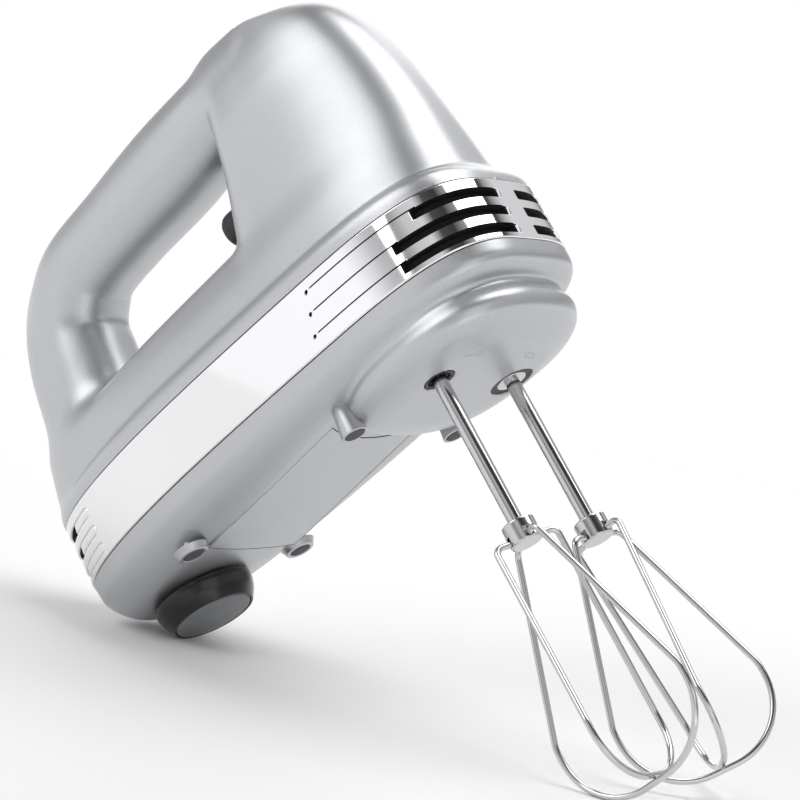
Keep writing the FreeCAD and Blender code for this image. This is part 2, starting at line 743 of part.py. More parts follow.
def make_stator():
    ring = tube("yoke", "stator_radius", "21", "stator_length", motor_at(D["stator_rear"]))
    poles = [box(f"pole_{side}", "stator_length", "8", "16",
                 at(D["stator_rear"], 14 if sign > 0 else -22, D["drive_z"] - 8)) for side, sign in SIDES]
    stack = fuse("stator_stack", ring, *poles)
    air = rod("stator_air", "rotor_radius + 0.7", "stator_length + 2", motor_at(D["stator_rear"] - 1))
    piece("motor_stator", cut("motor_stator", stack, air))
    for side, sign in SIDES:
        y = 15.8 if sign > 0 else -18.0
        outer = box(f"coil_outer_{side}", "42", "2.2", "21", at(4, y, D["drive_z"] - 10.5))
        inner = box(f"coil_inner_{side}", "30.2", "4", "16.2", at(9.9, y - 1, D["drive_z"] - 8.1))
        piece(f"field_coil_{side}", cut(f"field_coil_{side}", outer, inner))


def make_motor_brackets():
    for name, x in (("front", 60.5), ("rear", -30.5)):
        bar = box(f"bracket_bar_{name}", "3", "50", "18", at(x, -25, D["drive_z"] - 9))
        seat = rod(f"bracket_seat_{name}", "6", "8", motor_at(x - 2))
        piece(f"motor_bracket_{name}", cut(f"motor_bracket_{name}", bar, seat))
        piece(f"motor_bushing_{name}", tube(f"motor_bushing_{name}", "6", "motor_shaft_radius + running_gap", "5",
                                            motor_at(x - 1)))


def make_brushes():
    for side, sign in SIDES:
        near = 9.2 if sign > 0 else -19.2
        piece(f"carbon_brush_{side}", box(f"carbon_brush_{side}", "6", "10", "5", at(-9, near, D["drive_z"] - 2.5)))
        sleeve = box(f"brush_sleeve_{side}", "8", "11", "7", at(-10, 11 if sign > 0 else -22, D["drive_z"] - 3.5))
        way = box(f"brush_way_{side}", "6", "13", "5", at(-9, 10 if sign > 0 else -23, D["drive_z"] - 2.5))
        piece(f"brush_holder_{side}", cut(f"brush_holder_{side}", sleeve, way))


# ---------------------------------------------------------------- beater release

def make_release_spring():
    """Coil between the gearbox bridge and the pusher."""
    coil, wire, foot, tall = 4.0, 0.5, 39.6, 10.0
    helix = Part.makeHelix(2.0, tall, coil)
    helix.translate(Vector(D["socket_x"], 0, foot))
    start = Vector(D["socket_x"] + coil, 0, foot)
    profile = Part.Wire([Part.makeCircle(wire, start, Vector(0, 1, 0))])
    piece("release_spring", solid("release_spring", Part.Wire(helix.Edges).makePipeShell([profile], True, True)))


def make_release():
    """The button slides towards the nose.  A 45 degree ramp on its stem drives the pusher down as far."""
    z, face = D["release_z"], D["release_face_x"]
    dome = revolved("release_dome", [("0", "0"), ("3.2", "0.25"), ("5.2", "1.3"), ("release_radius", "3.4"),
                                     ("release_radius", "release_proud + 4"), ("0", "release_proud + 4")],
                    at(face - D["release_proud"], 0, z, ALONG_X))
    stem = box("release_stem", "13", "6", "7", at(face + 4, -3, z - 3.5))
    tip = face + 17
    ramp = box("release_ramp", "20", "8", "20", at(tip - 7 + 0.1, -4, z - 3.5, Rotation(Vector(0, 1, 0), 45)))
    piece("release_button", cut("release_button", fuse("release_solid", dome, stem), ramp))

    post_low = 51.2
    post = box("pusher_post", "7", "6", str(z + 3 - post_low), at(tip - 6.2, -3, post_low))
    bevel = box("pusher_bevel", "20", "8", "20", at(tip - 6.2, -4, z - 3.1, Rotation(Vector(0, 1, 0), -45)))
    arm = box("pusher_arm", "28.5", "6", "3", at(tip - 6.2, -3, 50.2))
    beam = box("pusher_beam", "8", "46", "3", at(D["socket_x"] - 4, -23, 50.2))
    piece("release_pusher", fuse("release_pusher", cut("pusher_post_cut", post, bevel), arm, beam))
    make_release_spring()


# ---------------------------------------------------------------- controls

def make_controls():
    plate = box("panel_plate", "panel_length - 0.4", "panel_width - 0.4", "panel_thick",
                panel_place(-D["panel_length"] / 2 + 0.2, -D["panel_width"] / 2 + 0.2, -D["panel_thick"]))
    window = box("panel_window", "8.8", "11.4", "1.0", panel_place(-11.0, -5.7, -0.8))
    buttons = {"power": (8.0, 0.0, "2.8"), "faster": (1.6, 3.6, "2.3"), "slower": (1.6, -3.6, "2.3")}
    holes = [rod(f"{name}_hole", f"{radius} + 0.3", "6", panel_place(along, across, -4))
             for name, (along, across, radius) in buttons.items()]
    piece("control_panel", cut("control_panel", plate, window, *holes))
    piece("display_lens", box("display_lens", "8.4", "11", "0.7", panel_place(-10.8, -5.5, -0.8)))
    for name, (along, across, radius) in buttons.items():
        piece(f"{name}_button", rod(f"{name}_button", radius, "3.6", panel_place(along, across, -2.6)))
    piece("control_board", box("control_board", "23", "14", "1.4", panel_place(-11.5, -7, -7)))


# ---------------------------------------------------------------- cord hub

def make_cord_hub():
    face = "hub_low"
    body = revolved("hub_turned", [
        ("0", "hub_low + 1.2"), ("hub_face_radius - 0.8", "hub_low + 1.2"), ("hub_face_radius - 0.8", face),
        ("hub_face_radius", face), ("hub_rim_radius - 0.7", "hub_rim_z - 3.2"),
        ("hub_rim_radius", "hub_rim_z - 1.6"), ("hub_rim_radius", "hub_rim_z"),
        ("hub_neck_radius", "hub_rim_z"), ("hub_neck_radius", "5.4"), ("0", "5.4")],
        at(D["hub_x"], 0, 0))
    away = Rotation(Vector(0, 0, 1), 122)
    bore_length = 14.0
    start = Vector(D["hub_x"], 0, -4.6) + away.multVec(Vector(5, 0, 0))
    bore = rod("cord_bore", "cord_bore_radius", str(bore_length), Placement(start, away.multiply(ALONG_X)))
    piece("cord_hub", cut("cord_hub", body, bore))
    piece("cord_hub_cap", rod("cord_hub_cap", "hub_face_radius - 0.8", "1.2", at(D["hub_x"], 0, D["hub_low"])))
    piece("cord_hub_clip", tube("cord_hub_clip", "13.2", "hub_neck_radius", "1.4", at(D["hub_x"], 0, 3.7)))


# ---------------------------------------------------------------- fasteners

def foot_spots():
    """Each foot's place and the level of the screw head above its pad."""
    for _, sign in SIDES:
        yield D["front_foot_x"], sign * D["front_foot_y"], D["front_foot_low"] + 1.3
        yield 0.0, sign * D["rear_foot_y"], 1.5


def make_screws():
    """Four long screws, hidden above the foot pads, clamp the two housings."""
    screws = []
    for number, (x, y, level) in enumerate(foot_spots()):
        shank = rod(f"screw_shank_{number}", "1.5", str(38.0 - level), at(x, y, level))
        head = rod(f"screw_head_{number}", "2.5", "1.8", at(x, y, level))
        screws.append(fuse(f"screw_{number}", shank, head))
    grouped("housing_screws", screws)


# ---------------------------------------------------------------- stance

def loop_sample(side):
    """Centre line of a beater's wide loop round its foot, as points in the mixer's axes."""
    azimuth, _ = beater_angles(side)
    lean = math.radians(azimuth)
    reach, pole = D["wide_loop"], D["chin_low"] - D["pole_depth"]
    foot = reach * 0.84
    flat = reach - foot
    for step in range(-90, 91):
        bend = math.radians(step)
        out = math.copysign(flat, bend) + foot * math.sin(bend)
        rise = foot * (1 - math.cos(bend))
        yield SOCKETS[side] + Vector(out * math.cos(lean), out * math.sin(lean), pole + rise)


def stance():
    """Pitch about Y at which the hub's lower edge and the lower beater touch one level plane."""
    edge = Vector(D["hub_x"] - D["hub_face_radius"], 0, D["hub_low"])
    samples = list(loop_sample("left")) + list(loop_sample("right"))

    def gap(pitch):
        lean = Rotation(Vector(0, 1, 0), -pitch)
        lowest = min(lean.multVec(point).z for point in samples) - D["wire_radius"]
        return lowest - lean.multVec(edge).z

    low, high = 20.0, 70.0
    for _ in range(50):
        middle = (low + high) / 2
        if gap(middle) > 0:
            high = middle
        else:
            low = middle
    return (low + high) / 2


def place_pieces():
    pitch = stance()
    lean = Placement(Vector(), Rotation(Vector(0, 1, 0), -pitch))
    doc.recompute()
    for item in pieces:
        item.Placement = lean.multiply(item.Placement)
    doc.recompute()
    corners = [point for item in pieces for point in item.Shape.tessellate(MESH_STEP)[0]]
    low_x, high_x = min(p.x for p in corners), max(p.x for p in corners)
    shift = Placement(Vector(-(low_x + high_x) / 2, 0, -min(p.z for p in corners)), Rotation())
    for item in pieces:
        item.Placement = shift.multiply(item.Placement)
    doc.recompute()
    print("pitch", round(pitch, 4), "shift", [round(v, 4) for v in shift.Base])


def check_and_export():
    for item in doc.Objects:
        if {"Invalid", "Error"} & set(item.State):
            raise RuntimeError(f"{item.Name} failed: {item.State}")
    for item in pieces:
        if item.Shape.isNull() or not item.Shape.isValid():
            raise RuntimeError(f"{item.Label} has no valid shape")
    os.makedirs("parts", exist_ok=True)
    for item in pieces:
        item.Shape.exportStep(f"parts/{item.Label}.step")
        print(item.Label, len(item.Shape.Solids), round(item.Shape.Volume, 1))


make_upper_housing()
make_lower_housing()
make_bottom_cover()
make_belt()
make_pads()
for side, sign in SIDES:
    make_beater(side)
    make_wheel(side, sign)
    make_spindle(side)
    make_bearings(side)
make_collar()
make_gearbox()
make_motor_shaft()
make_rotor()
make_stator()
make_motor_brackets()
make_brushes()
make_release()
make_controls()
make_cord_hub()
make_screws()
place_pieces()
check_and_export()
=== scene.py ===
import json
import math

import bpy
import numpy as np
from mathutils import Matrix, Vector


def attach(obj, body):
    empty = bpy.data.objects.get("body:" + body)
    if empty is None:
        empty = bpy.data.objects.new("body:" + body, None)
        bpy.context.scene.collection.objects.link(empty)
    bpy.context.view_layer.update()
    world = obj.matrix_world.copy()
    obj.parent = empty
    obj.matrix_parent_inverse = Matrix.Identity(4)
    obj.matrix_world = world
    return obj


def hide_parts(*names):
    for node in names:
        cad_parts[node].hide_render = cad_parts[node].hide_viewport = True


# Looks of a two-beater hand mixer.
#
# Shapes are drawn in the mixer's own axes, in millimetres: X from the heel to the nose, Y to the left
# and Z up to the handle, with the origin between the rear feet.  STANCE carries them into the frame.

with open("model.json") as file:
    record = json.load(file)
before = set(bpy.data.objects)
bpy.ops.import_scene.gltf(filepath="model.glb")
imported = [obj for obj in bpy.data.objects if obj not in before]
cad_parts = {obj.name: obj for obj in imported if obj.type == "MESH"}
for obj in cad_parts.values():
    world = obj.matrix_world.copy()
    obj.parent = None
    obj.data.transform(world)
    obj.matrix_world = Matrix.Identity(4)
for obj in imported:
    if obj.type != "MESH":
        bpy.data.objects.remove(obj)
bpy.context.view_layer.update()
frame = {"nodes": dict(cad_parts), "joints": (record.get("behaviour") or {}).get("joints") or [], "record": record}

JOINTS = {joint["name"]: joint for joint in frame["joints"]}
FORWARD = Vector(JOINTS["motor_spin"]["axis"])
LEFTWARD = Vector((0, 1, 0))
UPWARD = FORWARD.cross(LEFTWARD)
TURN = Matrix((FORWARD, LEFTWARD, UPWARD)).transposed()
MM = 0.001
MOTOR_MIDDLE = Vector((40, 0, 30))
STANCE = (Matrix.Translation(Vector(JOINTS["motor_spin"]["pos_m"]) - TURN @ MOTOR_MIDDLE * MM)
          @ TURN.to_4x4() @ Matrix.Scale(MM, 4))

LEFT, RIGHT = 1, -1
SIDES = (("left", LEFT), ("right", RIGHT))
BELT_LOW, BELT_TOP = 18.8, 41.0
BODY_REAR, BODY_FRONT, BODY_HALF = -55.0, 148.0, 38.4
WIDEST_X, FRONT_POWER, REAR_POWER = 85.0, 3.3, 3.0
BELLY_LOW, BELLY_SLOPE = 0.8, math.tan(math.radians(3.4))
CHIN_LOW = -5.4
SOCKET_X, SOCKET_Y = 106.6, 19.0
HUB_X = -24.1
REAR_FOOT_Y = 26.7
FRONT_FOOT = (75.1, 26.0, -4.1)
RELEASE_Z, RELEASE_FACE_X, RELEASE_SIDE, RELEASE_RADIUS = 87.0, 68.5, 5.5, 6.5
RELEASE_PROUD, RELEASE_LENGTH = 13.0, 17.0
PANEL_X, PANEL_Z, PANEL_SLOPE = 87.0, 142.6, math.radians(4.0)
PANEL_LENGTH, PANEL_WIDTH, PANEL_THICK, PANEL_SHIFT = 21.0, 13.8, 2.9, 1.5
KEYS = (("power", 8.0, 0.0, 2.8), ("faster", 1.6, 3.6, 2.3), ("slower", 1.6, -3.6, 2.3))
CORD_HOLE_RADIUS, CORD_HOLE_Z, CORD_AZIMUTH = 3.0, -4.6, math.radians(122)


# ---------------------------------------------------------------- materials

def new_material(name, colour, metallic=0.0, roughness=0.5, coat=0.0, ior=1.45):
    material = bpy.data.materials.new(name)
    material.use_nodes = True
    shader = material.node_tree.nodes["Principled BSDF"]
    shader.inputs["Base Color"].default_value = (*colour, 1)
    shader.inputs["Metallic"].default_value = metallic
    shader.inputs["Roughness"].default_value = roughness
    shader.inputs["Coat Weight"].default_value = coat
    shader.inputs["Coat Roughness"].default_value = 0.08
    shader.inputs["IOR"].default_value = ior
    return material


def noise(material, scale, detail=4.0, stretch=(1, 1, 1)):
    """Noise in the object's own coordinates, stretched along its axes."""
    nodes, links = material.node_tree.nodes, material.node_tree.links
    coordinates = nodes.new("ShaderNodeTexCoord")
    mapping = nodes.new("ShaderNodeMapping")
    mapping.inputs["Scale"].default_value = stretch
    texture = nodes.new("ShaderNodeTexNoise")
    texture.inputs["Scale"].default_value = scale
    texture.inputs["Detail"].default_value = detail
    links.new(coordinates.outputs["Object"], mapping.inputs["Vector"])
    links.new(mapping.outputs["Vector"], texture.inputs["Vector"])
    return texture.outputs["Fac"]


def ramp(material, source, low, high, start=0.3, end=0.7):
    """Map a 0 to 1 value onto two colours or two grey levels."""
    node = material.node_tree.nodes.new("ShaderNodeValToRGB")
    for element, position, value in zip(node.color_ramp.elements, (start, end), (low, high)):
        element.position = position
        element.color = (*value, 1) if isinstance(value, tuple) else (value, value, value, 1)
    material.node_tree.links.new(source, node.inputs["Fac"])
    return node.outputs["Color"]


def feed(material, source, socket):
    """Drive one of the shader's sockets."""
    shader = material.node_tree.nodes["Principled BSDF"]
    material.node_tree.links.new(source, shader.inputs[socket])


def roughen(material, source, distance, strength=0.5):
    """Bump from a height value; distance is in metres."""
    bump = material.node_tree.nodes.new("ShaderNodeBump")
    bump.inputs["Distance"].default_value = distance
    bump.inputs["Strength"].default_value = strength
    material.node_tree.links.new(source, bump.inputs["Height"])
    feed(material, bump.outputs["Normal"], "Normal")


def painted_silver(name, shade):
    """Metallic silver paint: fine flake, faint orange peel, slight patches of wear in the gloss."""
    material = new_material(name, (shade, shade, shade), metallic=0.82, roughness=0.36, coat=0.08)
    flake = noise(material, 2600.0, 2.0)
    feed(material, ramp(material, flake, tuple(shade * k for k in (0.92, 0.935, 0.955)),
                        tuple(min(1, shade * k) for k in (1.03, 1.05, 1.075))), "Base Color")
    feed(material, ramp(material, noise(material, 30.0, 5.0), 0.33, 0.39), "Roughness")
    roughen(material, noise(material, 1400.0, 2.0), 0.00002, 0.25)
    return material


def polished_chrome(name, shade=0.88, roughness=0.05):
    """Plated metal: nearly mirror, with faint handling haze."""
    material = new_material(name, (shade, shade, shade * 1.01), metallic=1.0, roughness=roughness)
    haze = noise(material, 90.0, 6.0)
    feed(material, ramp(material, haze, roughness * 0.7, roughness * 1.6), "Roughness")
    tint = noise(material, 14.0, 3.0)
    bright = (shade, shade, min(1, shade * 1.015))
    feed(material, ramp(material, tint, (shade * 0.97,) * 3, bright), "Base Color")
    return material


def moulded(name, colour, roughness, grain, depth=0.00003, coat=0.0):
    """Moulded plastic or rubber with a fine texture and slightly uneven gloss."""
    material = new_material(name, colour, roughness=roughness, coat=coat)
    feed(material, ramp(material, noise(material, grain * 0.1, 4.0), tuple(c * 0.88 for c in colour),
                        tuple(min(1, c * 1.08) for c in colour)), "Base Color")
    feed(material, ramp(material, noise(material, grain * 0.4, 4.0), roughness * 0.85, roughness * 1.15),
         "Roughness")
    roughen(material, noise(material, grain, 3.0), depth)
    return material


def turned_metal(name, colour, roughness=0.3):
    """Machined or wound metal with fine circumferential lines."""
    material = new_material(name, colour, metallic=1.0, roughness=roughness)
    lines = noise(material, 900.0, 3.0, stretch=(1.0, 0.08, 1.0))
    feed(material, ramp(material, lines, roughness * 0.7, roughness * 1.4), "Roughness")
    dim = tuple(c * 0.85 for c in colour)
    feed(material, ramp(material, noise(material, 60.0), dim, colour), "Base Color")
    roughen(material, lines, 0.00002)
    return material


SILVER_UPPER = painted_silver("silver_paint_upper", 0.53)
SILVER_LOWER = painted_silver("silver_paint_lower", 0.53)
CHROME = polished_chrome("chrome_trim_plate")
BEATER_CHROME = polished_chrome("beater_plate", 0.6, 0.1)
BLACK_GLOSS = moulded("black_gloss", (0.008, 0.009, 0.010), 0.2, 900.0, 0.00001, coat=0.1)
BLACK_MATTE = moulded("black_matte", (0.018, 0.018, 0.02), 0.45, 1600.0)
# Black that stands for shade. It fills the belt's slots, grooves and rims, the sockets' depths and the gap round
# the cover plate.
PAINTED_SHADE = moulded("painted_shade_black", (0.006, 0.006, 0.007), 0.7, 700.0)
DISC_GREY = moulded("disc_grey", (0.17, 0.175, 0.18), 0.42, 2200.0)
BUTTON_GREY = moulded("button_grey", (0.20, 0.205, 0.21), 0.4, 2000.0)
PAD_RUBBER = moulded("pad_rubber", (0.07, 0.072, 0.075), 0.7, 1500.0, 0.00006)
DISPLAY = moulded("display_window", (0.02, 0.028, 0.026), 0.08, 400.0, 0.000004, coat=1.0)
MARKING = moulded("marking_ink", (0.75, 0.76, 0.77), 0.4, 1200.0)
NYLON = moulded("natural_nylon", (0.78, 0.76, 0.68), 0.42, 800.0)
BOARD = moulded("board_lacquer", (0.02, 0.16, 0.05), 0.3, 700.0)
CARBON = moulded("carbon_block", (0.03, 0.03, 0.032), 0.6, 1400.0)
STEEL = turned_metal("turned_steel", (0.56, 0.56, 0.57))
COPPER = turned_metal("enamelled_copper", (0.72, 0.34, 0.17))
BRONZE = turned_metal("sintered_bronze", (0.55, 0.38, 0.2), 0.4)

INNER_LOOKS = {
    "silver_upper": SILVER_UPPER, "silver_lower": SILVER_LOWER, "chrome_trim": CHROME,
    "black_plastic": BLACK_MATTE, "grey_disc": DISC_GREY, "grey_button": BUTTON_GREY,
    "display": DISPLAY, "circuit_board": BOARD, "foot_rubber": PAD_RUBBER, "nylon": NYLON,
    "bronze": BRONZE, "steel": STEEL, "copper": COPPER, "carbon": CARBON, "beater_chrome": BEATER_CHROME,
}


def dress_cad_nodes():
    """Give every CAD node the procedural material of its slot in the record."""
    slot_of = {part["node"]: part["material_slot"] for part in frame["record"]["subparts"]}
    for name, node in frame["nodes"].items():
        node.data.materials.clear()
        node.data.materials.append(INNER_LOOKS[slot_of[name]])


# ---------------------------------------------------------------- mesh helpers

def make_piece(name, points, faces, materials, body, slot, replaced=(), face_material=None, sharp=38.0):
    """Mesh object from points in mixer millimetres, riding a body and standing for CAD nodes."""
    mesh = bpy.data.meshes.new(name)
    mesh.from_pydata([tuple(point) for point in points], [], [tuple(face) for face in faces])
    mesh.transform(STANCE)
    for material in materials:
        mesh.materials.append(material)
    if face_material is not None:
        mesh.polygons.foreach_set("material_index", np.asarray(face_material, np.int32))
    mesh.shade_smooth()
    mesh.set_sharp_from_angle(angle=math.radians(sharp))
    mesh.update()
    piece = bpy.data.objects.new(name, mesh)
    bpy.context.scene.collection.objects.link(piece)
    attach(piece, body)
    if replaced:
        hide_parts(*replaced)
    return piece


def carve(piece, points, faces):
    """Cut a closed shape, drawn in mixer millimetres, out of a piece."""
    tool_mesh = bpy.data.meshes.new("carving_tool")
    tool_mesh.from_pydata([tuple(point) for point in points], [], faces)
    tool_mesh.transform(STANCE)
    tool = bpy.data.objects.new("carving_tool", tool_mesh)
    bpy.context.scene.collection.objects.link(tool)
    cut = piece.modifiers.new("carving", "BOOLEAN")
    cut.operation, cut.object, cut.solver = "DIFFERENCE", tool, "EXACT"
    bpy.context.view_layer.update()
    evaluated = piece.evaluated_get(bpy.context.evaluated_depsgraph_get())
    mesh = bpy.data.meshes.new_from_object(evaluated)
    piece.modifiers.clear()
    piece.data = mesh
    bpy.data.objects.remove(tool)


def grid_faces(rows, columns, close_rows=False, close_columns=False):
    """Quads of a grid whose points run row by row."""
    faces = []
    for row in range(rows if close_rows else rows - 1):
        following = (row + 1) % rows
        for column in range(columns if close_columns else columns - 1):
            beside = (column + 1) % columns
            faces.append((row * columns + column, row * columns + beside,
                          following * columns + beside, following * columns + column))
    return faces


def circle(radius, height, segments):
    """Points of a level circle about Z."""
    angles = [2 * math.pi * k / segments for k in range(segments)]
    return [Vector((radius * math.cos(angle), radius * math.sin(angle), height)) for angle in angles]


def lathe(profile, place=None, segments=96):
    """Points and faces of a profile of (radius, height) turned about Z; its ends lie on the axis."""
    place = place or Matrix.Identity(4)
    points = [place @ Vector((0, 0, profile[0][1]))]
    for radius, height in profile[1:-1]:
        points += [place @ point for point in circle(radius, height, segments)]
    points.append(place @ Vector((0, 0, profile[-1][1])))
    rows = len(profile) - 2
    faces = [tuple(index + 1 for index in face) for face in grid_faces(rows, segments, close_columns=True)]
    last = len(points) - 1
    for k in range(segments):
        beside = (k + 1) % segments
        faces.append((0, 1 + beside, 1 + k))
        faces.append((last, last - segments + k, last - segments + beside))
    return points, faces


def rounded(profile, radius, steps=5):
    """Profile whose inner corners are rounded; each corner's arc keeps within half of its neighbours."""
    result = [profile[0]]
    for before, corner, after in zip(profile, profile[1:], profile[2:]):
        back, ahead = Vector(before) - Vector(corner), Vector(after) - Vector(corner)
        trim = min(radius, back.length * 0.45, ahead.length * 0.45)
        start = Vector(corner) + back.normalized() * trim
        end = Vector(corner) + ahead.normalized() * trim
        for step in range(steps + 1):
            t = step / steps
            point = start * (1 - t) ** 2 + Vector(corner) * 2 * t * (1 - t) + end * t ** 2
            result.append(tuple(point))
    return result + [profile[-1]]


def sweep(path, radius, closed=False, sides=14):
    """Points and faces of a round wire along a path."""
    path = [Vector(point) for point in path]
    count = len(path)
    tangents = []
    for k in range(count):
        before = path[k - 1] if k or closed else path[k]
        after = path[(k + 1) % count] if k < count - 1 or closed else path[k]
        tangents.append((after - before).normalized())
    across = tangents[0].orthogonal().normalized()
    points = []
    for point, tangent in zip(path, tangents):
        across = (across - tangent * across.dot(tangent)).normalized()
        other = tangent.cross(across)
        for side in range(sides):
            angle = 2 * math.pi * side / sides
            points.append(point + (across * math.cos(angle) + other * math.sin(angle)) * radius)
    faces = grid_faces(count, sides, close_rows=closed, close_columns=True)
    if not closed:
        faces.append(tuple(reversed(range(sides))))
        faces.append(tuple(range((count - 1) * sides, count * sides)))
    return points, faces


def joined(*meshes):
    """One mesh of several."""
    points, faces = [], []
    for more_points, more_faces in meshes:
        offset = len(points)
        points += list(more_points)
        faces += [tuple(index + offset for index in face) for face in more_faces]
    return points, faces


# ---------------------------------------------------------------- fields and their surfaces

def smooth_max(a, b, radius):
    blend = np.clip(radius - np.abs(a - b), 0, None) / radius
    return np.maximum(a, b) + blend * blend * radius / 4


def smooth_min(a, b, radius):
    return -smooth_max(-a, -b, radius)


def eased(position, stations, values):
    """Smooth curve through the stations, with no overshoot."""
    stations, values = np.asarray(stations, float), np.asarray(values, float)
    steps = np.diff(values) / np.diff(stations)
    slopes = np.zeros(len(values))
    same = steps[:-1] * steps[1:] > 0
    slopes[1:-1][same] = 2 * steps[:-1][same] * steps[1:][same] / (steps[:-1] + steps[1:])[same]
    slopes[0], slopes[-1] = steps[0], steps[-1]
    position = np.clip(position, stations[0], stations[-1])
    index = np.clip(np.searchsorted(stations, position) - 1, 0, len(stations) - 2)
    width = stations[index + 1] - stations[index]
    t = (position - stations[index]) / width
    return ((2 * t ** 3 - 3 * t ** 2 + 1) * values[index] + (t ** 3 - 2 * t ** 2 + t) * width * slopes[index]
            + (3 * t ** 2 - 2 * t ** 3) * values[index + 1] + (t ** 3 - t ** 2) * width * slopes[index + 1])


def stacked(x, y, z, table, widest, front_power, rear_power):
    """Distance-like field of a solid given by level outlines: height, rear, front and half width."""
    levels, rears, fronts, halves = zip(*table)
    rear, front, half = (eased(z, levels, column) for column in (rears, fronts, halves))
    ahead = x >= widest
    reach = np.where(ahead, front - widest, widest - rear)
    power = np.where(ahead, front_power, rear_power)
    along, across = np.abs(x - widest) / reach, np.abs(y) / half
    norm = (along ** power + across ** power) ** (1 / power)
    return (norm - 1) * np.minimum(half, reach)


def surface(field, low, high, cell):
    """Closed quad mesh of field = 0: one point in each crossed cell, drawn onto the true surface."""
    axes = [np.arange(a - cell, b + 2 * cell, cell) for a, b in zip(low, high)]
    values = np.empty([len(axis) for axis in axes], np.float32)
    plane_y, plane_z = np.meshgrid(axes[1], axes[2], indexing="ij")
    for index, x in enumerate(axes[0]):
        values[index] = field(np.full_like(plane_y, x), plane_y, plane_z)
    inside = values < 0
    shape = tuple(n - 1 for n in values.shape)
    total, count = np.zeros(shape + (3,)), np.zeros(shape)
    crossings = []
    for direction in range(3):
        first = [slice(None)] * 3
        second = [slice(None)] * 3
        first[direction], second[direction] = slice(None, -1), slice(1, None)
        a, b = values[tuple(first)], values[tuple(second)]
        crossed = (a < 0) != (b < 0)
        crossings.append((crossed, inside[tuple(first)]))
        index = np.argwhere(crossed)
        share = a[crossed] / (a[crossed] - b[crossed])
        point = index.astype(float)
        point[:, direction] += share
        others = [axis for axis in range(3) if axis != direction]
        for shift_a in (0, 1):
            for shift_b in (0, 1):
                cells = index.copy()
                cells[:, others[0]] -= shift_a
                cells[:, others[1]] -= shift_b
                valid = np.all((cells >= 0) & (cells < np.array(shape)), axis=1)
                where = tuple(cells[valid].T)
                np.add.at(total, where, point[valid])
                np.add.at(count, where, 1)
    used = count > 0
    number = np.full(shape, -1)
    number[used] = np.arange(used.sum())
    start = np.array([axis[0] for axis in axes])
    points = total[used] / count[used][:, None] * cell + start
    faces = []
    for direction, (crossed, first_inside) in enumerate(crossings):
        others = [(direction + 1) % 3, (direction + 2) % 3]
        index = np.argwhere(crossed)
        corners = []
        for shift_a, shift_b in ((0, 0), (1, 0), (1, 1), (0, 1)):
            cells = index.copy()
            cells[:, others[0]] -= shift_a
            cells[:, others[1]] -= shift_b
            corners.append(number[tuple(cells.T)])
        quads = np.stack(corners, axis=1)
        inward = ~first_inside[crossed]
        quads[inward] = quads[inward][:, ::-1]
        faces.append(quads)
    faces = np.concatenate(faces)
    step = cell * 0.2
    for _ in range(4):
        x, y, z = points.T
        here = field(x, y, z)
        slope = np.stack([(field(x + step, y, z) - field(x - step, y, z)),
                          (field(x, y + step, z) - field(x, y - step, z)),
                          (field(x, y, z + step) - field(x, y, z - step))], axis=1) / (2 * step)
        size = np.maximum((slope ** 2).sum(axis=1), 0.05)
        move = -slope * (here / size)[:, None]
        length = np.linalg.norm(move, axis=1, keepdims=True)
        points = points + move * np.minimum(1, cell * 0.5 / np.maximum(length, 1e-9))
    return points, faces


def cylinder_field(first, second, centre, radius):
    """Distance to an endless cylinder, from the two coordinates across it."""
    return np.hypot(first - centre[0], second - centre[1]) - radius


# ---------------------------------------------------------------- upper housing

SHOULDER = [(38.0, -54.6, 147.6, 38.0), (46.0, -54.4, 147.2, 37.6), (54.0, -53.5, 145.5, 35.5)]
DECK = [(40.0, -52.5, 138.5, 32.5), (50.0, -52.0, 137.0, 30.8), (60.0, -50.5, 133.0, 28.5),
        (70.0, -48.5, 127.0, 24.0), (78.0, -46.0, 121.0, 18.5), (90.0, -44.0, 112.0, 16.0)]
COLUMN = [(45.0, 52.0, 143.4, 30.5), (60.0, 59.5, 142.4, 28.6), (77.0, 62.5, 141.0, 24.5),
          (95.0, 68.0, 138.6, 22.4), (110.0, 71.5, 135.2, 21.0), (120.0, 72.5, 131.4, 18.8),
          (127.0, 72.5, 126.8, 16.6), (133.0, 72.5, 119.4, 14.0), (138.0, 72.5, 109.0, 11.6),
          (146.0, 72.5, 91.0, 8.5)]
GRIP = [(92.0, 127.6, 13.0, 14.0), (75.0, 126.4, 14.2, 14.6), (45.0, 123.4, 16.0, 15.6),
        (15.0, 121.0, 15.0, 15.0), (-6.0, 118.4, 15.0, 15.0), (-16.0, 112.0, 15.6, 15.4),
        (-22.6, 104.0, 16.4, 15.8), (-26.0, 92.5, 17.8, 16.6), (-28.0, 78.0, 18.6, 17.4),
        (-29.2, 60.0, 20.2, 19.4), (-29.8, 48.0, 22.2, 20.9)]
BELT_SEAM = 0.3


def dense_grip(steps=14):
    """Grip stations smoothed by a Catmull-Rom curve: x, z, half height and half width."""
    stations = np.array(GRIP)
    padded = np.vstack([2 * stations[0] - stations[1], stations, 2 * stations[-1] - stations[-2]])
    dense = []
    for k in range(1, len(padded) - 2):
        a, b, c, d = padded[k - 1:k + 3]
        for t in np.arange(steps) / steps:
            dense.append(0.5 * (2 * b + (c - a) * t + (2 * a - 5 * b + 4 * c - d) * t ** 2
                                + (3 * b - a - 3 * c + d) * t ** 3))
    return np.array(dense + [stations[-1]])


GRIP_PATH = dense_grip()


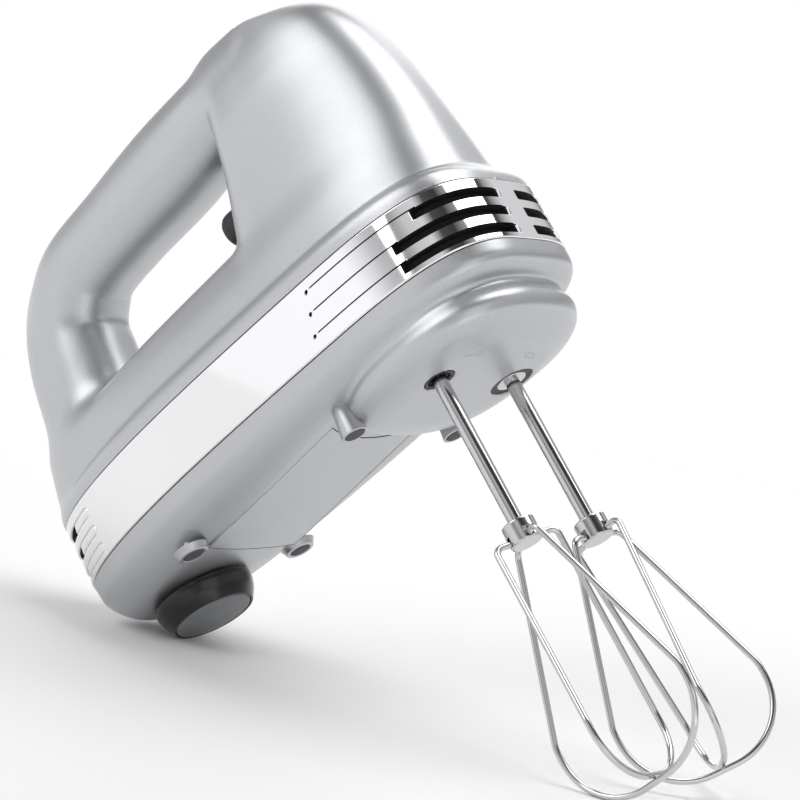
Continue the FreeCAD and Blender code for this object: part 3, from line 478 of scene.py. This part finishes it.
def grip_field(x, y, z):
    """Field of the grip: rounded sections strung along its curved middle line."""
    away = np.full(x.shape, np.inf)
    best = np.zeros(x.shape, int)
    for number, (centre_x, centre_z, _, _) in enumerate(GRIP_PATH):
        distance = np.hypot(x - centre_x, z - centre_z)
        nearer = distance < away
        away = np.where(nearer, distance, away)
        best = np.where(nearer, number, best)
    first = np.clip(best - 1, 0, len(GRIP_PATH) - 2)
    for start in (first, np.clip(best, 0, len(GRIP_PATH) - 2)):
        a, b = GRIP_PATH[start], GRIP_PATH[start + 1]
        run_x, run_z = b[..., 0] - a[..., 0], b[..., 1] - a[..., 1]
        t = ((x - a[..., 0]) * run_x + (z - a[..., 1]) * run_z) / (run_x ** 2 + run_z ** 2)
        t = np.clip(t, 0, 1)
        distance = np.hypot(x - a[..., 0] - t * run_x, z - a[..., 1] - t * run_z)
        tall = a[..., 2] + t * (b[..., 2] - a[..., 2])
        half = a[..., 3] + t * (b[..., 3] - a[..., 3])
        power = 2.3
        norm = ((distance / tall) ** power + (np.abs(y) / half) ** power) ** (1 / power)
        here = (norm - 1) * np.minimum(tall, half)
        nearest = here if start is first else np.minimum(nearest, here)
    return nearest


def upper_field(x, y, z):
    """Upper housing: shoulder above the belt, deck, front column and grip, with its two openings."""
    shoulder = stacked(x, y, z, SHOULDER, WIDEST_X, FRONT_POWER, REAR_POWER)
    shoulder = smooth_max(shoulder, z - 50.2, 7.0)
    deck_top = 73.0 + (x + 10.0) * 0.0575
    deck = stacked(x, y, z, DECK, 60.0, FRONT_POWER, REAR_POWER)
    deck = smooth_max(deck, z - deck_top, 8.0)
    column = stacked(x, y, z, COLUMN, 95.0, 2.6, 4.5)
    column_top = PANEL_Z + 0.4 - (x - PANEL_X) * math.tan(PANEL_SLOPE)
    column = smooth_max(column, z - column_top, 5.5)
    grip = grip_field(x, y, z)
    body = smooth_min(smooth_min(deck, grip, 7.0), smooth_min(column, grip, 2.5), 3.0)
    body = smooth_min(body, shoulder, 1.8)
    body = np.maximum(body, BELT_TOP + BELT_SEAM - z)
    beside = np.clip(np.abs(y) - RELEASE_SIDE, 0, None)
    release = np.maximum(np.hypot(beside, z - RELEASE_Z) - RELEASE_RADIUS - 0.4, np.abs(x - 77.0) - 18.0)
    pocket = np.maximum(np.abs(x - PANEL_X - PANEL_SHIFT) - PANEL_LENGTH / 2 - 0.1,
                        np.abs(y) - PANEL_WIDTH / 2 - 0.1)
    pocket = np.maximum(pocket, PANEL_Z - 7.0 - z)
    return np.maximum(np.maximum(body, -release), -pocket)


def sharpen_seam(points, level, table, reach=0.7):
    """Draw the points near a level seam onto the sharp edge where it meets the side."""
    near = np.flatnonzero(np.abs(points[:, 2] - level) < reach)
    points[near, 2] = level

    def side(x, y):
        return stacked(x, y, np.full_like(x, level), table, WIDEST_X, FRONT_POWER, REAR_POWER)
    near = near[side(points[near, 0], points[near, 1]) > -reach]
    for _ in range(4):
        x, y = points[near, 0], points[near, 1]
        slope_x = (side(x + 0.1, y) - side(x - 0.1, y)) * 5
        slope_y = (side(x, y + 0.1) - side(x, y - 0.1)) * 5
        move = side(x, y) / np.maximum(slope_x ** 2 + slope_y ** 2, 0.05)
        points[near, 0] -= slope_x * move
        points[near, 1] -= slope_y * move
    return points


def make_upper_housing():
    points, faces = surface(upper_field, (-56, -40, 40), (150, 40, 147), 1.0)
    points = sharpen_seam(points, BELT_TOP + BELT_SEAM, SHOULDER)
    make_piece("housing_upper_skin", points, faces, [SILVER_UPPER], "body", "silver_upper", ["upper_housing"],
               sharp=50.0)


# ---------------------------------------------------------------- lower housing

TUB = [(-6.0, -30.0, 100.0, 12.0), (0.0, -41.0, 117.0, 22.0), (2.0, -45.0, 128.0, 27.0),
       (5.0, -49.0, 138.0, 31.5),
       (9.0, -52.3, 145.0, 35.3), (13.0, -54.2, 147.4, 37.4), (20.0, -54.8, 147.8, 38.0)]
CHIN = [(-8.0, 84.0, 130.0, 26.0), (-5.4, 79.0, 134.0, 29.0), (-3.0, 73.0, 138.5, 32.6),
        (0.0, 70.0, 141.3, 34.5),
        (3.0, 69.0, 142.3, 35.0), (7.0, 70.0, 141.0, 33.9), (12.0, 70.0, 139.0, 32.5)]


def belly(x):
    """Height of the underside, which rises towards the nose."""
    return BELLY_LOW + x * BELLY_SLOPE


def lower_field(x, y, z):
    """Lower housing: tub and nose chin, with the sockets' mouths and the dish of the cord hub."""
    tub = stacked(x, y, z, TUB, WIDEST_X, FRONT_POWER, REAR_POWER)
    tub = smooth_max(tub, belly(x) - z, 6.0)
    chin = stacked(x, y, z, CHIN, SOCKET_X, 2.6, 2.6)
    chin = smooth_max(chin, CHIN_LOW - z, 6.0)
    body = smooth_min(tub, chin, 2.2)
    body = np.maximum(body, z - (BELT_LOW - BELT_SEAM))
    for sign, radius in ((LEFT, 7.3), (RIGHT, 5.1)):
        mouth = cylinder_field(x, y, (SOCKET_X, sign * SOCKET_Y), radius)
        socket = np.maximum(mouth, z - 6.0)
        body = smooth_max(body, -socket, 0.8)
    dish = np.maximum(cylinder_field(x, y, (HUB_X, 0.0), 17.9), z - 0.3)
    return np.maximum(body, -dish)


def make_lower_housing():
    points, faces = surface(lower_field, (-56, -40, -6.5), (150, 40, 19.5), 0.8)
    points = sharpen_seam(points, BELT_LOW - BELT_SEAM, TUB, 0.55)
    make_piece("housing_lower_skin", points, faces, [SILVER_LOWER], "body", "silver_lower", ["lower_housing"],
               sharp=50.0)


# ---------------------------------------------------------------- chrome belt

SLOT_CENTRES = (22.4, 29.0, 35.6)
SLOT_HALF = 1.6
SLOT_DEPTH = 3.4
SLOT_STARTS = (124.2, 124.5, 133.6)
GROOVE_DEPTH = 0.45
LINE_DEPTH, LINE_HALF, LINE_OFFSET = 1.5, 0.17, 0.2
# The last value is the depth beyond which the belt's sunk faces are painted black as shade.
BELT_MIDDLE, BELT_INSIDE, PAINTED_SHADE_DEPTH = 30.0, 3.8, 1.1


def belt_outline(count):
    """Evenly spaced points round the body's outline, with outward normals."""
    angle = np.linspace(0, 2 * np.pi, 12000, endpoint=False)
    along, across = np.cos(angle), np.sin(angle)
    ahead = along >= 0
    power = np.where(ahead, FRONT_POWER, REAR_POWER)
    reach = np.where(ahead, BODY_FRONT - WIDEST_X, WIDEST_X - BODY_REAR)
    scale = (np.abs(along) ** power + np.abs(across) ** power) ** (-1 / power)
    x, y = WIDEST_X + reach * along * scale, BODY_HALF * across * scale
    run = np.concatenate([[0], np.cumsum(np.hypot(np.diff(x, append=x[0]), np.diff(y, append=y[0])))])
    even = np.linspace(0, run[-1], count, endpoint=False)
    x = np.interp(even, run, np.append(x, x[0]))
    y = np.interp(even, run, np.append(y, y[0]))
    step_x, step_y = np.roll(x, -1) - np.roll(x, 1), np.roll(y, -1) - np.roll(y, 1)
    size = np.hypot(step_x, step_y)
    return x, y, step_y / size, -step_x / size


def ledge(value, edge, width):
    """0 below the edge, 1 above it, with a soft step."""
    return np.clip((value - edge) / width + 0.5, 0, 1)


def belt_depth(x, y, level):
    """How far the belt's surface sinks: open slots at the nose and heel, and fine grooves beside them."""
    depth = np.zeros_like(x)
    edge = np.minimum(level - BELT_LOW, BELT_TOP - level)
    depth += 0.5 * np.clip(1 - edge / 0.5, 0, 1) ** 2
    for centre, start in zip(SLOT_CENTRES, SLOT_STARTS):
        across = ledge(SLOT_HALF - np.abs(level - centre), 0.0, 0.25)
        lean = (level - BELT_MIDDLE) * 0.35
        nose = across * ledge(x, start, 0.8) * ledge(np.abs(y), 4.5, 0.8)
        heel = across * ledge(-x, 43.0 - lean, 1.2)
        depth = np.maximum(depth, SLOT_DEPTH * np.maximum(nose, heel))
        line = ledge(LINE_HALF - np.abs(level - centre - SLOT_HALF - LINE_OFFSET), 0.0, 0.1)
        groove = line * ledge(x, 90.6 + lean, 0.6) * ledge(-x, -start - 1.5, 0.6)
        dot = ledge(0.5 - np.hypot(x - 89.0 - lean, level - centre - SLOT_HALF + 0.1), 0.0, 0.2)
        depth = np.maximum(depth, LINE_DEPTH * np.maximum(groove, dot))
        pill_end = -29.0 + (level - BELT_MIDDLE) * 0.05
        along = np.clip(x - pill_end + SLOT_HALF, 0, None)
        rim = np.abs(np.hypot(along, level - centre) - SLOT_HALF)
        pill = np.clip(1 - rim / 0.35, 0, 1) * ledge(-x, 28.0 - SLOT_HALF, 0.4)
        depth = np.maximum(depth, GROOVE_DEPTH * pill)
    return depth


def make_belt():
    """Chrome strip; its levels lie closer together at the slots' edges, the grooves and the rims."""
    columns = 1700
    x, y, normal_x, normal_y = belt_outline(columns)
    near_edge, near_line = np.array((-0.2, -0.12, -0.04, 0.04, 0.12, 0.2)), np.linspace(-0.3, 0.3, 11)
    levels = [np.linspace(BELT_LOW, BELT_TOP, 56), BELT_LOW + near_line + 0.3, BELT_TOP + near_line - 0.3]
    for centre in SLOT_CENTRES:
        levels += [centre - SLOT_HALF + near_edge, centre + SLOT_HALF + near_edge,
                   centre + SLOT_HALF + LINE_OFFSET + near_line]
    levels = np.unique(np.round(np.concatenate(levels), 2))
    rows = len(levels)
    points, depths = [], []
    for level in levels:
        sink = belt_depth(x, y, np.full_like(x, level))
        depths.append(sink)
        points.append(np.stack([x - normal_x * sink, y - normal_y * sink, np.full_like(x, level)], axis=1))
    for level in (BELT_TOP, BELT_LOW):
        inner_x, inner_y = x - normal_x * BELT_INSIDE, y - normal_y * BELT_INSIDE
        points.append(np.stack([inner_x, inner_y, np.full_like(x, level)], axis=1))
        depths.append(np.full_like(x, SLOT_DEPTH))
    points, depths = np.concatenate(points), np.concatenate(depths)
    faces = np.array(grid_faces(rows + 2, columns, close_rows=True, close_columns=True))
    # Faces that sink deeper than that depth, in the slots, the fine grooves and the top and bottom rims, are
    # painted black as shade.
    painted_shade_faces = depths[faces].max(axis=1) > PAINTED_SHADE_DEPTH
    make_piece("chrome_belt", points, faces, [CHROME, PAINTED_SHADE], "body", "chrome_trim", ["belt_trim"],
               face_material=painted_shade_faces.astype(int), sharp=35.0)


# ---------------------------------------------------------------- underside details

def make_underside():
    """Cover plate: a thin raised sheet whose ends curve round the chin and the cord hub."""
    front, rear, half, proud = 66.0, 3.0, 21.5, 0.12
    outline = []
    steps = 24
    for k in range(steps + 1):
        across = half - 2 * half * k / steps
        bow = 1 - (across / half) ** 2
        outline.append((front - 5.0 * bow, across))
    for k in range(steps + 1):
        across = -half + 2 * half * k / steps
        bow = 1 - (across / half) ** 2
        outline.append((rear - 1.6 * bow, across))
    count = len(outline)
    points = [Vector((x, y, belly(x) - proud)) for x, y in outline]
    points += [Vector((x, y, belly(x) + 0.6)) for x, y in outline]
    faces = [tuple(range(count)), tuple(reversed(range(count, 2 * count)))]
    faces += [(k, k + count, (k + 1) % count + count, (k + 1) % count) for k in range(count)]
    make_piece("underside_plate", points, faces, [SILVER_LOWER], "body", "silver_lower", ["bottom_cover"])
    # A thin black wire along the plate's edge paints the shade in the gap beneath it.
    seam = outline[steps + 1:] + outline[:steps + 1]
    path = [Vector((x, y, belly(x) + 0.02)) for x, y in seam]
    make_piece("underside_plate_gap_shade", *sweep(path, 0.2, sides=8), [PAINTED_SHADE], "body", "black_plastic")


def make_feet():
    """Front pads on studs and rear pads in rings."""
    x, y, low = FRONT_FOOT
    for side, sign in SIDES:
        place = Matrix.Translation((x, sign * y, low))
        cone = rounded([(0, 1.0), (3.4, 1.0), (3.4, 0), (4.4, 0), (3.1, 10.0), (0, 10.0)], 0.35)
        make_piece(f"front_foot_{side}", *lathe(cone, place), [SILVER_LOWER], "body", "silver_lower")
        pad = rounded([(0, -0.1), (3.3, -0.1), (3.3, 1.4), (0, 1.4)], 0.3)
        make_piece(f"front_pad_{side}", *lathe(pad, place), [PAD_RUBBER], "body", "foot_rubber",
                   [f"foot_pad_front_{side}"])
        place = Matrix.Translation((0, sign * REAR_FOOT_Y, 0))
        ring = rounded([(0, 1.0), (3.6, 1.0), (3.6, 0), (4.9, 0), (5.2, 1.0), (6.2, 2.6), (0, 2.6)], 0.5)
        make_piece(f"rear_foot_{side}", *lathe(ring, place), [SILVER_LOWER], "body", "silver_lower")
        make_piece(f"rear_pad_{side}", *lathe(rounded([(0, 0), (3.5, 0), (3.5, 1.4), (0, 1.4)], 0.3), place),
                   [PAD_RUBBER], "body", "foot_rubber", [f"foot_pad_rear_{side}"])


def make_socket_rings():
    """Washers in the sockets' mouths, and black discs deep inside them as painted shade."""
    washers = (("left", LEFT, 7.3, CHIN_LOW + 0.6), ("right", RIGHT, 5.1, CHIN_LOW + 0.1))
    for side, sign, outer, low in washers:
        place = Matrix.Translation((SOCKET_X, sign * SOCKET_Y, low))
        profile = [(3.8, 1.0), (3.8, 0.3), (outer - 0.1, 0.0), (outer - 0.1, 1.0)]
        rows, segments = len(profile), 72
        points = [place @ point for radius, height in profile for point in circle(radius, height, segments)]
        faces = grid_faces(rows, segments, close_rows=True, close_columns=True)
        make_piece(f"socket_washer_{side}", points, faces, [BLACK_MATTE], "body", "black_plastic",
                   [f"socket_ring_{side}"])
        # Black disc deep in the socket: painted shade.
        cap = lathe([(0, 9.0), (outer, 9.0), (outer, 9.4), (0, 9.4)], place)
        make_piece(f"socket_painted_shade_{side}", *cap, [PAINTED_SHADE], "body", "black_plastic")


def make_icons():
    """Small raised beater signs beside the sockets: a plain loop on a stalk, generic."""
    heights = np.linspace(CHIN_LOW - 0.2, CHIN_LOW + 4.0, 400)
    for number, (x, y, turn) in enumerate(((120.2, -17.6, 70.0), (121.6, 9.4, 110.0))):
        lean = math.radians(turn)
        along = Vector((math.cos(lean), math.sin(lean), 0))
        across = Vector((-math.sin(lean), math.cos(lean), 0))
        inside = lower_field(np.full_like(heights, x), np.full_like(heights, y), heights) < 0
        base = Vector((x, y, heights[np.argmax(inside)])) - along * 3.0
        for width in (0.6, 1.5):
            loop = [base + along * (3.0 + 2.2 * (1 - math.cos(a))) + across * (width * math.sin(a))
                    for a in np.linspace(0, 2 * math.pi, 24, endpoint=False)]
            make_piece(f"beater_sign_{number}_{int(width * 10)}", *sweep(loop, 0.16, closed=True, sides=6),
                       [SILVER_LOWER], "body", "silver_lower")
        make_piece(f"beater_sign_stalk_{number}", *sweep([base, base + along * 3.0], 0.2, sides=6),
                   [SILVER_LOWER], "body", "silver_lower")


# ---------------------------------------------------------------- cord hub

def make_cord_hub():
    """Swivelling hub with its face disc and the hole for the cord."""
    place = Matrix.Translation((HUB_X, 0, 0))
    profile = rounded([(0, -8.2), (13.6, -8.2), (13.6, -9.2), (14.3, -9.2), (16.3, -5.6), (17.2, -2.6),
                       (17.3, -0.7), (11.0, -0.7), (11.0, 5.4), (0, 5.4)], 0.5)
    # The hub's second material is the black that stands for shade.
    hub = make_piece("cord_hub_rim", *lathe(profile, place, 160), [BLACK_GLOSS, PAINTED_SHADE], "cord_hub",
                     "black_plastic", ["cord_hub"])
    away = Vector((math.cos(CORD_AZIMUTH), math.sin(CORD_AZIMUTH), 0))
    aim = away.to_track_quat("Z", "Y").to_matrix().to_4x4()
    start = Vector((HUB_X, 0, CORD_HOLE_Z)) + away * 5.0
    drill = [(0, 0), (CORD_HOLE_RADIUS, 0), (CORD_HOLE_RADIUS, 16.0), (0, 16.0)]
    carve(hub, *lathe(drill, Matrix.Translation(start) @ aim, 48))

    disc = rounded([(0, -9.25), (13.2, -9.25), (13.4, -8.6), (13.4, -8.1), (0, -8.1)], 0.25)
    make_piece("cord_hub_disc", *lathe(disc, place), [DISC_GREY], "cord_hub", "grey_disc", ["cord_hub_cap"])


# ---------------------------------------------------------------- beaters

SHAFT_RADIUS, WIRE_RADIUS = 2.4, 1.0
KNOB_DEPTH, KNOB_RADIUS, KNOB_TALL = 58.0, 5.3, 7.1
WIRE_DEPTH, WIRE_REACH, POLE_DEPTH = 56.4, 10.4, 138.0
WIDE_LOOP, NARROW_LOOP = 24.5, 19.0
LOOP_AZIMUTH, LOOP_TWIST, MESH_OFFSET = 2.0, 37.0, 45.0
BOX_FACES = [(3, 2, 1, 0), (4, 5, 6, 7), (0, 1, 5, 4), (1, 2, 6, 5), (2, 3, 7, 6), (3, 0, 4, 7)]


def rounded_path(corners, radii, steps=18):
    """Path through corners, each replaced by a tangent arc."""
    path = [corners[0]]
    for before, corner, after, radius in zip(corners, corners[1:], corners[2:], radii):
        back, ahead = (before - corner).normalized(), (after - corner).normalized()
        half = back.angle(ahead) / 2
        trim = radius / math.tan(half)
        start, end = corner + back * trim, corner + ahead * trim
        centre = corner + (back + ahead).normalized() * (radius / math.sin(half))
        sweep_angle = math.pi - 2 * half
        first, last = start - centre, end - centre
        for k in range(steps + 1):
            t = k / steps
            arm = first * math.sin((1 - t) * sweep_angle) + last * math.sin(t * sweep_angle)
            path.append(centre + arm / math.sin(sweep_angle))
    return path + [corners[-1]]


def loop_path(place, reach, azimuth, twist, depth):
    """Centre line of one wire loop, out of the knob, down the twisted legs and round the pole."""
    def polar(radius, angle, down):
        lean = math.radians(angle)
        return Vector((radius * math.cos(lean), radius * math.sin(lean), CHIN_LOW - down))
    leg = [polar(SHAFT_RADIUS + 0.4, azimuth - twist, WIRE_DEPTH),
           polar(WIRE_REACH, azimuth - twist, WIRE_DEPTH),
           polar(reach, azimuth, depth - reach), polar(reach, azimuth, depth)]
    corners = leg + [Vector((-corner.x, -corner.y, corner.z)) for corner in reversed(leg)]
    bend, foot = 2.6, reach * 0.84
    radii = (bend, reach * 0.5, foot, foot, reach * 0.5, bend)
    return rounded_path([place + corner for corner in corners], radii)


def knob_field(azimuth, place):
    """Field of the turned knob with four notches round its lower rim, where the wires come out."""
    low = CHIN_LOW - KNOB_DEPTH

    def field(x, y, z):
        dx, dy = x - place.x, y - place.y
        ends = np.abs(z - low - KNOB_TALL / 2) - KNOB_TALL / 2
        body = smooth_max(np.hypot(dx, dy) - KNOB_RADIUS, ends, 0.7)
        for number in range(2):
            lean = math.radians(azimuth + 90 * number)
            along = dx * math.cos(lean) + dy * math.sin(lean)
            across = -dx * math.sin(lean) + dy * math.cos(lean)
            notch = np.maximum(np.abs(across) - WIRE_RADIUS - 0.25, np.abs(z - low - 2.1) - 1.5)
            notch = np.maximum(notch, 3.4 - np.abs(along))
            body = smooth_max(body, -notch, 0.2)
        return body
    return field


def make_beater(side, sign):
    """Shaft, end knob and two wire loops; the left shaft also has a collar."""
    place = Vector((SOCKET_X, sign * SOCKET_Y, 0))
    azimuth, twist = LOOP_AZIMUTH, LOOP_TWIST
    if sign == LEFT:
        azimuth, twist = MESH_OFFSET - LOOP_AZIMUTH, -LOOP_TWIST
    body = f"beater_{side}"
    low = CHIN_LOW - KNOB_DEPTH
    top = 38.0
    at_socket = Matrix.Translation(place)
    shaft = rounded([(0, low + 1.4), (SHAFT_RADIUS, low + 1.4), (SHAFT_RADIUS, top), (0, top)], 0.4)
    lugs = []
    for number in range(2):
        turn = at_socket @ Matrix.Rotation(math.radians(90 * number), 4, "Z")
        corners = [turn @ Vector((x, y, z)) for z in (0.4, 5.4) for x, y in
                   ((-3.4, -0.6), (3.4, -0.6), (3.4, 0.6), (-3.4, 0.6))]
        lugs.append((corners, BOX_FACES))
    make_piece(f"beater_stem_{side}", *joined(lathe(shaft, at_socket, 64), *lugs), [BEATER_CHROME], body,
               "beater_chrome", [f"beater_shaft_{side}"])
    reach = KNOB_RADIUS + 0.5
    points, faces = surface(knob_field(azimuth - twist, place), (place.x - reach, place.y - reach, low - 0.3),
                            (place.x + reach, place.y + reach, low + KNOB_TALL + 0.3), 0.16)
    make_piece(f"beater_hub_{side}", points, faces, [BEATER_CHROME], body, "beater_chrome",
               [f"beater_knob_{side}"], sharp=60.0)
    loops = (("wide", WIDE_LOOP, azimuth, POLE_DEPTH),
             ("narrow", NARROW_LOOP, azimuth + 90, POLE_DEPTH - 2 * WIRE_RADIUS))
    for label, loop_reach, lean, depth in loops:
        wire = sweep(loop_path(place, loop_reach, lean, twist, depth), WIRE_RADIUS, sides=20)
        make_piece(f"beater_{label}_wire_{side}", *wire, [BEATER_CHROME], body, "beater_chrome",
                   [f"beater_{label}_loop_{side}"])
    if sign == LEFT:
        under, over = CHIN_LOW + 0.5, CHIN_LOW + 1.7
        collar = rounded([(0, under), (5.0, under), (5.0, over), (0, over)], 0.3)
        make_piece("beater_stop_collar_left", *lathe(collar, at_socket, 64), [BEATER_CHROME], body,
                   "beater_chrome", ["beater_collar_left"])


# ---------------------------------------------------------------- controls

def panel_place(along, across, rise):
    """A place on the sloping panel, from its middle."""
    return (Matrix.Translation((PANEL_X, 0, PANEL_Z)) @ Matrix.Rotation(PANEL_SLOPE, 4, "Y")
            @ Matrix.Translation((along, across, rise)))


def slab(length, width, low, top, corner, edge, place, steps=8):
    """Flat slab with rounded corners and a softened upper edge."""
    points, faces = [], []
    levels = [(low, 0.0), (top - edge, 0.0)]
    levels += [(top - edge + edge * math.sin(a), edge * (1 - math.cos(a)))
               for a in np.linspace(0, math.pi / 2, 5)[1:]]
    for height, inset in levels:
        for quarter in range(4):
            middle_x = (length / 2 - corner) * (1 if quarter in (0, 3) else -1)
            middle_y = (width / 2 - corner) * (1 if quarter in (0, 1) else -1)
            for k in range(steps + 1):
                angle = math.pi / 2 * (quarter + k / steps)
                reach = corner - inset
                corner_x, corner_y = reach * math.cos(angle), reach * math.sin(angle)
                points.append(place @ Vector((middle_x + corner_x, middle_y + corner_y, height)))
    ring = 4 * (steps + 1)
    faces = grid_faces(len(levels), ring, close_columns=True)
    faces.append(tuple(reversed(range(ring))))
    faces.append(tuple(range((len(levels) - 1) * ring, len(levels) * ring)))
    return points, faces


def make_controls():
    """Panel on the column's top: display and three keys in their holes."""
    panel = slab(PANEL_LENGTH, PANEL_WIDTH, -PANEL_THICK, 0.0, 2.0, 0.5, panel_place(PANEL_SHIFT, 0, 0))
    pod = make_piece("control_pod", *panel, [BLACK_GLOSS], "body", "black_plastic", ["control_panel"])
    window = slab(6.2, 10.4, -0.8, 0.12, 1.0, 0.1, panel_place(-5.3, 0, 0))
    make_piece("display_pane", *window, [DISPLAY], "body", "display", ["display_lens"])
    for name, along, across, radius in KEYS:
        hole = [(0, -3.6), (radius + 0.25, -3.6), (radius + 0.25, 1.0), (0, 1.0)]
        carve(pod, *lathe(hole, panel_place(along, across, 0), 48))
        cap = rounded([(0, -2.6), (radius, -2.6), (radius, 0.8), (radius - 0.5, 1.0), (0, 0.85)], 0.3)
        make_piece(f"{name}_key", *lathe(cap, panel_place(along, across, 0), 64), [BUTTON_GREY],
                   f"{name}_button", "grey_button", [f"{name}_button"])
        if name == "power":
            arc = [panel_place(along, across, 0.9) @ Vector((1.5 * math.cos(a), 1.5 * math.sin(a), 0))
                   for a in np.linspace(math.radians(40), math.radians(320), 24)]
            bar = [panel_place(along, across, 0.9) @ Vector((x, 0, 0)) for x in (0.6, 2.0)]
            sign_mesh = joined(sweep(arc, 0.16, sides=6), sweep(bar, 0.16, sides=6))
        else:
            point = 1.2 if name == "faster" else -1.2
            chevron = [panel_place(along, across, 0.92) @ Vector(corner)
                       for corner in ((-point * 0.4, -1.1, 0), (point * 0.6, 0, 0), (-point * 0.4, 1.1, 0))]
            sign_mesh = sweep(chevron, 0.16, sides=6)
        make_piece(f"{name}_key_sign", *sign_mesh, [MARKING], f"{name}_button", "grey_button")


def make_release_button():
    """Wide oval button on the column's rear face, with its stem inside."""
    place = (Matrix.Translation((RELEASE_FACE_X - RELEASE_PROUD, 0, RELEASE_Z))
             @ Matrix.Rotation(math.radians(-90), 4, "Y"))
    tall = 2 * RELEASE_RADIUS
    dome = slab(tall, tall + 2 * RELEASE_SIDE, -RELEASE_LENGTH, 0.0, RELEASE_RADIUS, 3.6, place, 14)
    stem = slab(6.0, 6.0, -RELEASE_LENGTH - 7.0, -RELEASE_LENGTH, 0.5, 0.2, place)
    make_piece("release_dome", *joined(dome, stem), [BLACK_MATTE], "release_button", "grey_button",
               ["release_button"])


# ---------------------------------------------------------------- studio

def make_world():
    """White backdrop; what metal reflects of it is softer, with a dim band near the horizon."""
    world = bpy.data.worlds.new("studio_world")
    bpy.context.scene.world = world
    world.use_nodes = True
    nodes, links = world.node_tree.nodes, world.node_tree.links
    background = nodes["Background"]
    coordinates = nodes.new("ShaderNodeTexCoord")
    split = nodes.new("ShaderNodeSeparateXYZ")
    shade = nodes.new("ShaderNodeValToRGB")
    levels = ((0.0, 1.0), (0.12, 0.55), (0.3, 0.27), (0.42, 0.55),
              (0.6, 0.65), (0.72, 0.07), (0.86, 0.04), (1.0, 0.55))
    elements = shade.color_ramp.elements
    while len(elements) < len(levels):
        elements.new(0.5)
    for element, (position, grey) in zip(elements, levels):
        element.position, element.color = position, (grey, grey, grey * 1.02, 1)
    links.new(coordinates.outputs["Generated"], split.inputs["Vector"])
    links.new(split.outputs["Z"], shade.inputs["Fac"])
    links.new(shade.outputs["Color"], background.inputs["Color"])
    background.inputs["Strength"].default_value = 1.1
    backdrop = nodes.new("ShaderNodeBackground")
    backdrop.inputs["Color"].default_value = (1, 1, 1, 1)
    path = nodes.new("ShaderNodeLightPath")
    mix = nodes.new("ShaderNodeMixShader")
    links.new(path.outputs["Is Camera Ray"], mix.inputs["Fac"])
    links.new(background.outputs["Background"], mix.inputs[1])
    links.new(backdrop.outputs["Background"], mix.inputs[2])
    links.new(mix.outputs["Shader"], nodes["World Output"].inputs["Surface"])


def make_studio():
    """Pale floor and four soft lights."""
    floor_mesh = bpy.data.meshes.new("studio_floor")
    rings, segments, reach = 16, 96, 0.75
    points = [Vector((0, 0, 0))]
    for ring in range(1, rings + 1):
        radius = reach * (ring / rings) ** 2
        points += circle(radius, 0, segments)
    faces = [(0, 1 + k, 1 + (k + 1) % segments) for k in range(segments)]
    for face in grid_faces(rings, segments, close_columns=True):
        faces.append(tuple(index + 1 for index in reversed(face)))
    floor_mesh.from_pydata([tuple(point) for point in points], [], faces)
    floor_mesh.materials.append(new_material("studio_floor_white", (0.93, 0.93, 0.93), roughness=0.85))
    floor = bpy.data.objects.new("studio_floor", floor_mesh)
    bpy.context.scene.collection.objects.link(floor)

    make_world()
    bpy.context.scene.view_settings.view_transform = "Standard"

    target = Vector((0.0, 0.0, 0.1))
    for name, place, size, power in (
            ("key", (-1.1, -1.5, 1.3), 1.6, 16.0), ("fill", (1.5, -0.9, 0.5), 1.3, 3.0),
            ("top", (0.2, 0.5, 1.9), 1.6, 22.0), ("back", (-1.0, 1.3, 0.9), 1.2, 6.0)):
        light = bpy.data.lights.new(name, "AREA")
        light.shape, light.size, light.energy = "SQUARE", size, power
        lamp = bpy.data.objects.new(name, light)
        bpy.context.scene.collection.objects.link(lamp)
        lamp.location = place
        lamp.rotation_euler = (target - lamp.location).to_track_quat("-Z", "Y").to_euler()


def make_camera():
    """Camera in the mixer's axes: below and ahead of it, to its right."""
    rightward = Vector((0.6611, 0.6069, -0.4412))
    overhead = Vector((0.5623, -0.0115, 0.8268))
    backward = rightward.cross(overhead).normalized()
    overhead = backward.cross(rightward).normalized()
    place = rightward * 49.34 + overhead * 49.87 + backward * 923.3
    data = bpy.data.cameras.new("camera")
    data.sensor_width = 36.0
    data.lens = 127.6
    camera = bpy.data.objects.new("camera", data)
    bpy.context.scene.collection.objects.link(camera)
    axes = Matrix((TURN @ rightward, TURN @ overhead, TURN @ backward)).transposed()
    camera.matrix_world = Matrix.Translation(STANCE @ place) @ axes.to_4x4()
    bpy.context.scene.camera = camera


dress_cad_nodes()
make_upper_housing()
make_lower_housing()
make_belt()
make_underside()
make_feet()
make_socket_rings()
make_icons()
make_cord_hub()
for beater_side, beater_sign in SIDES:
    make_beater(beater_side, beater_sign)
make_controls()
make_release_button()
make_studio()
make_camera()
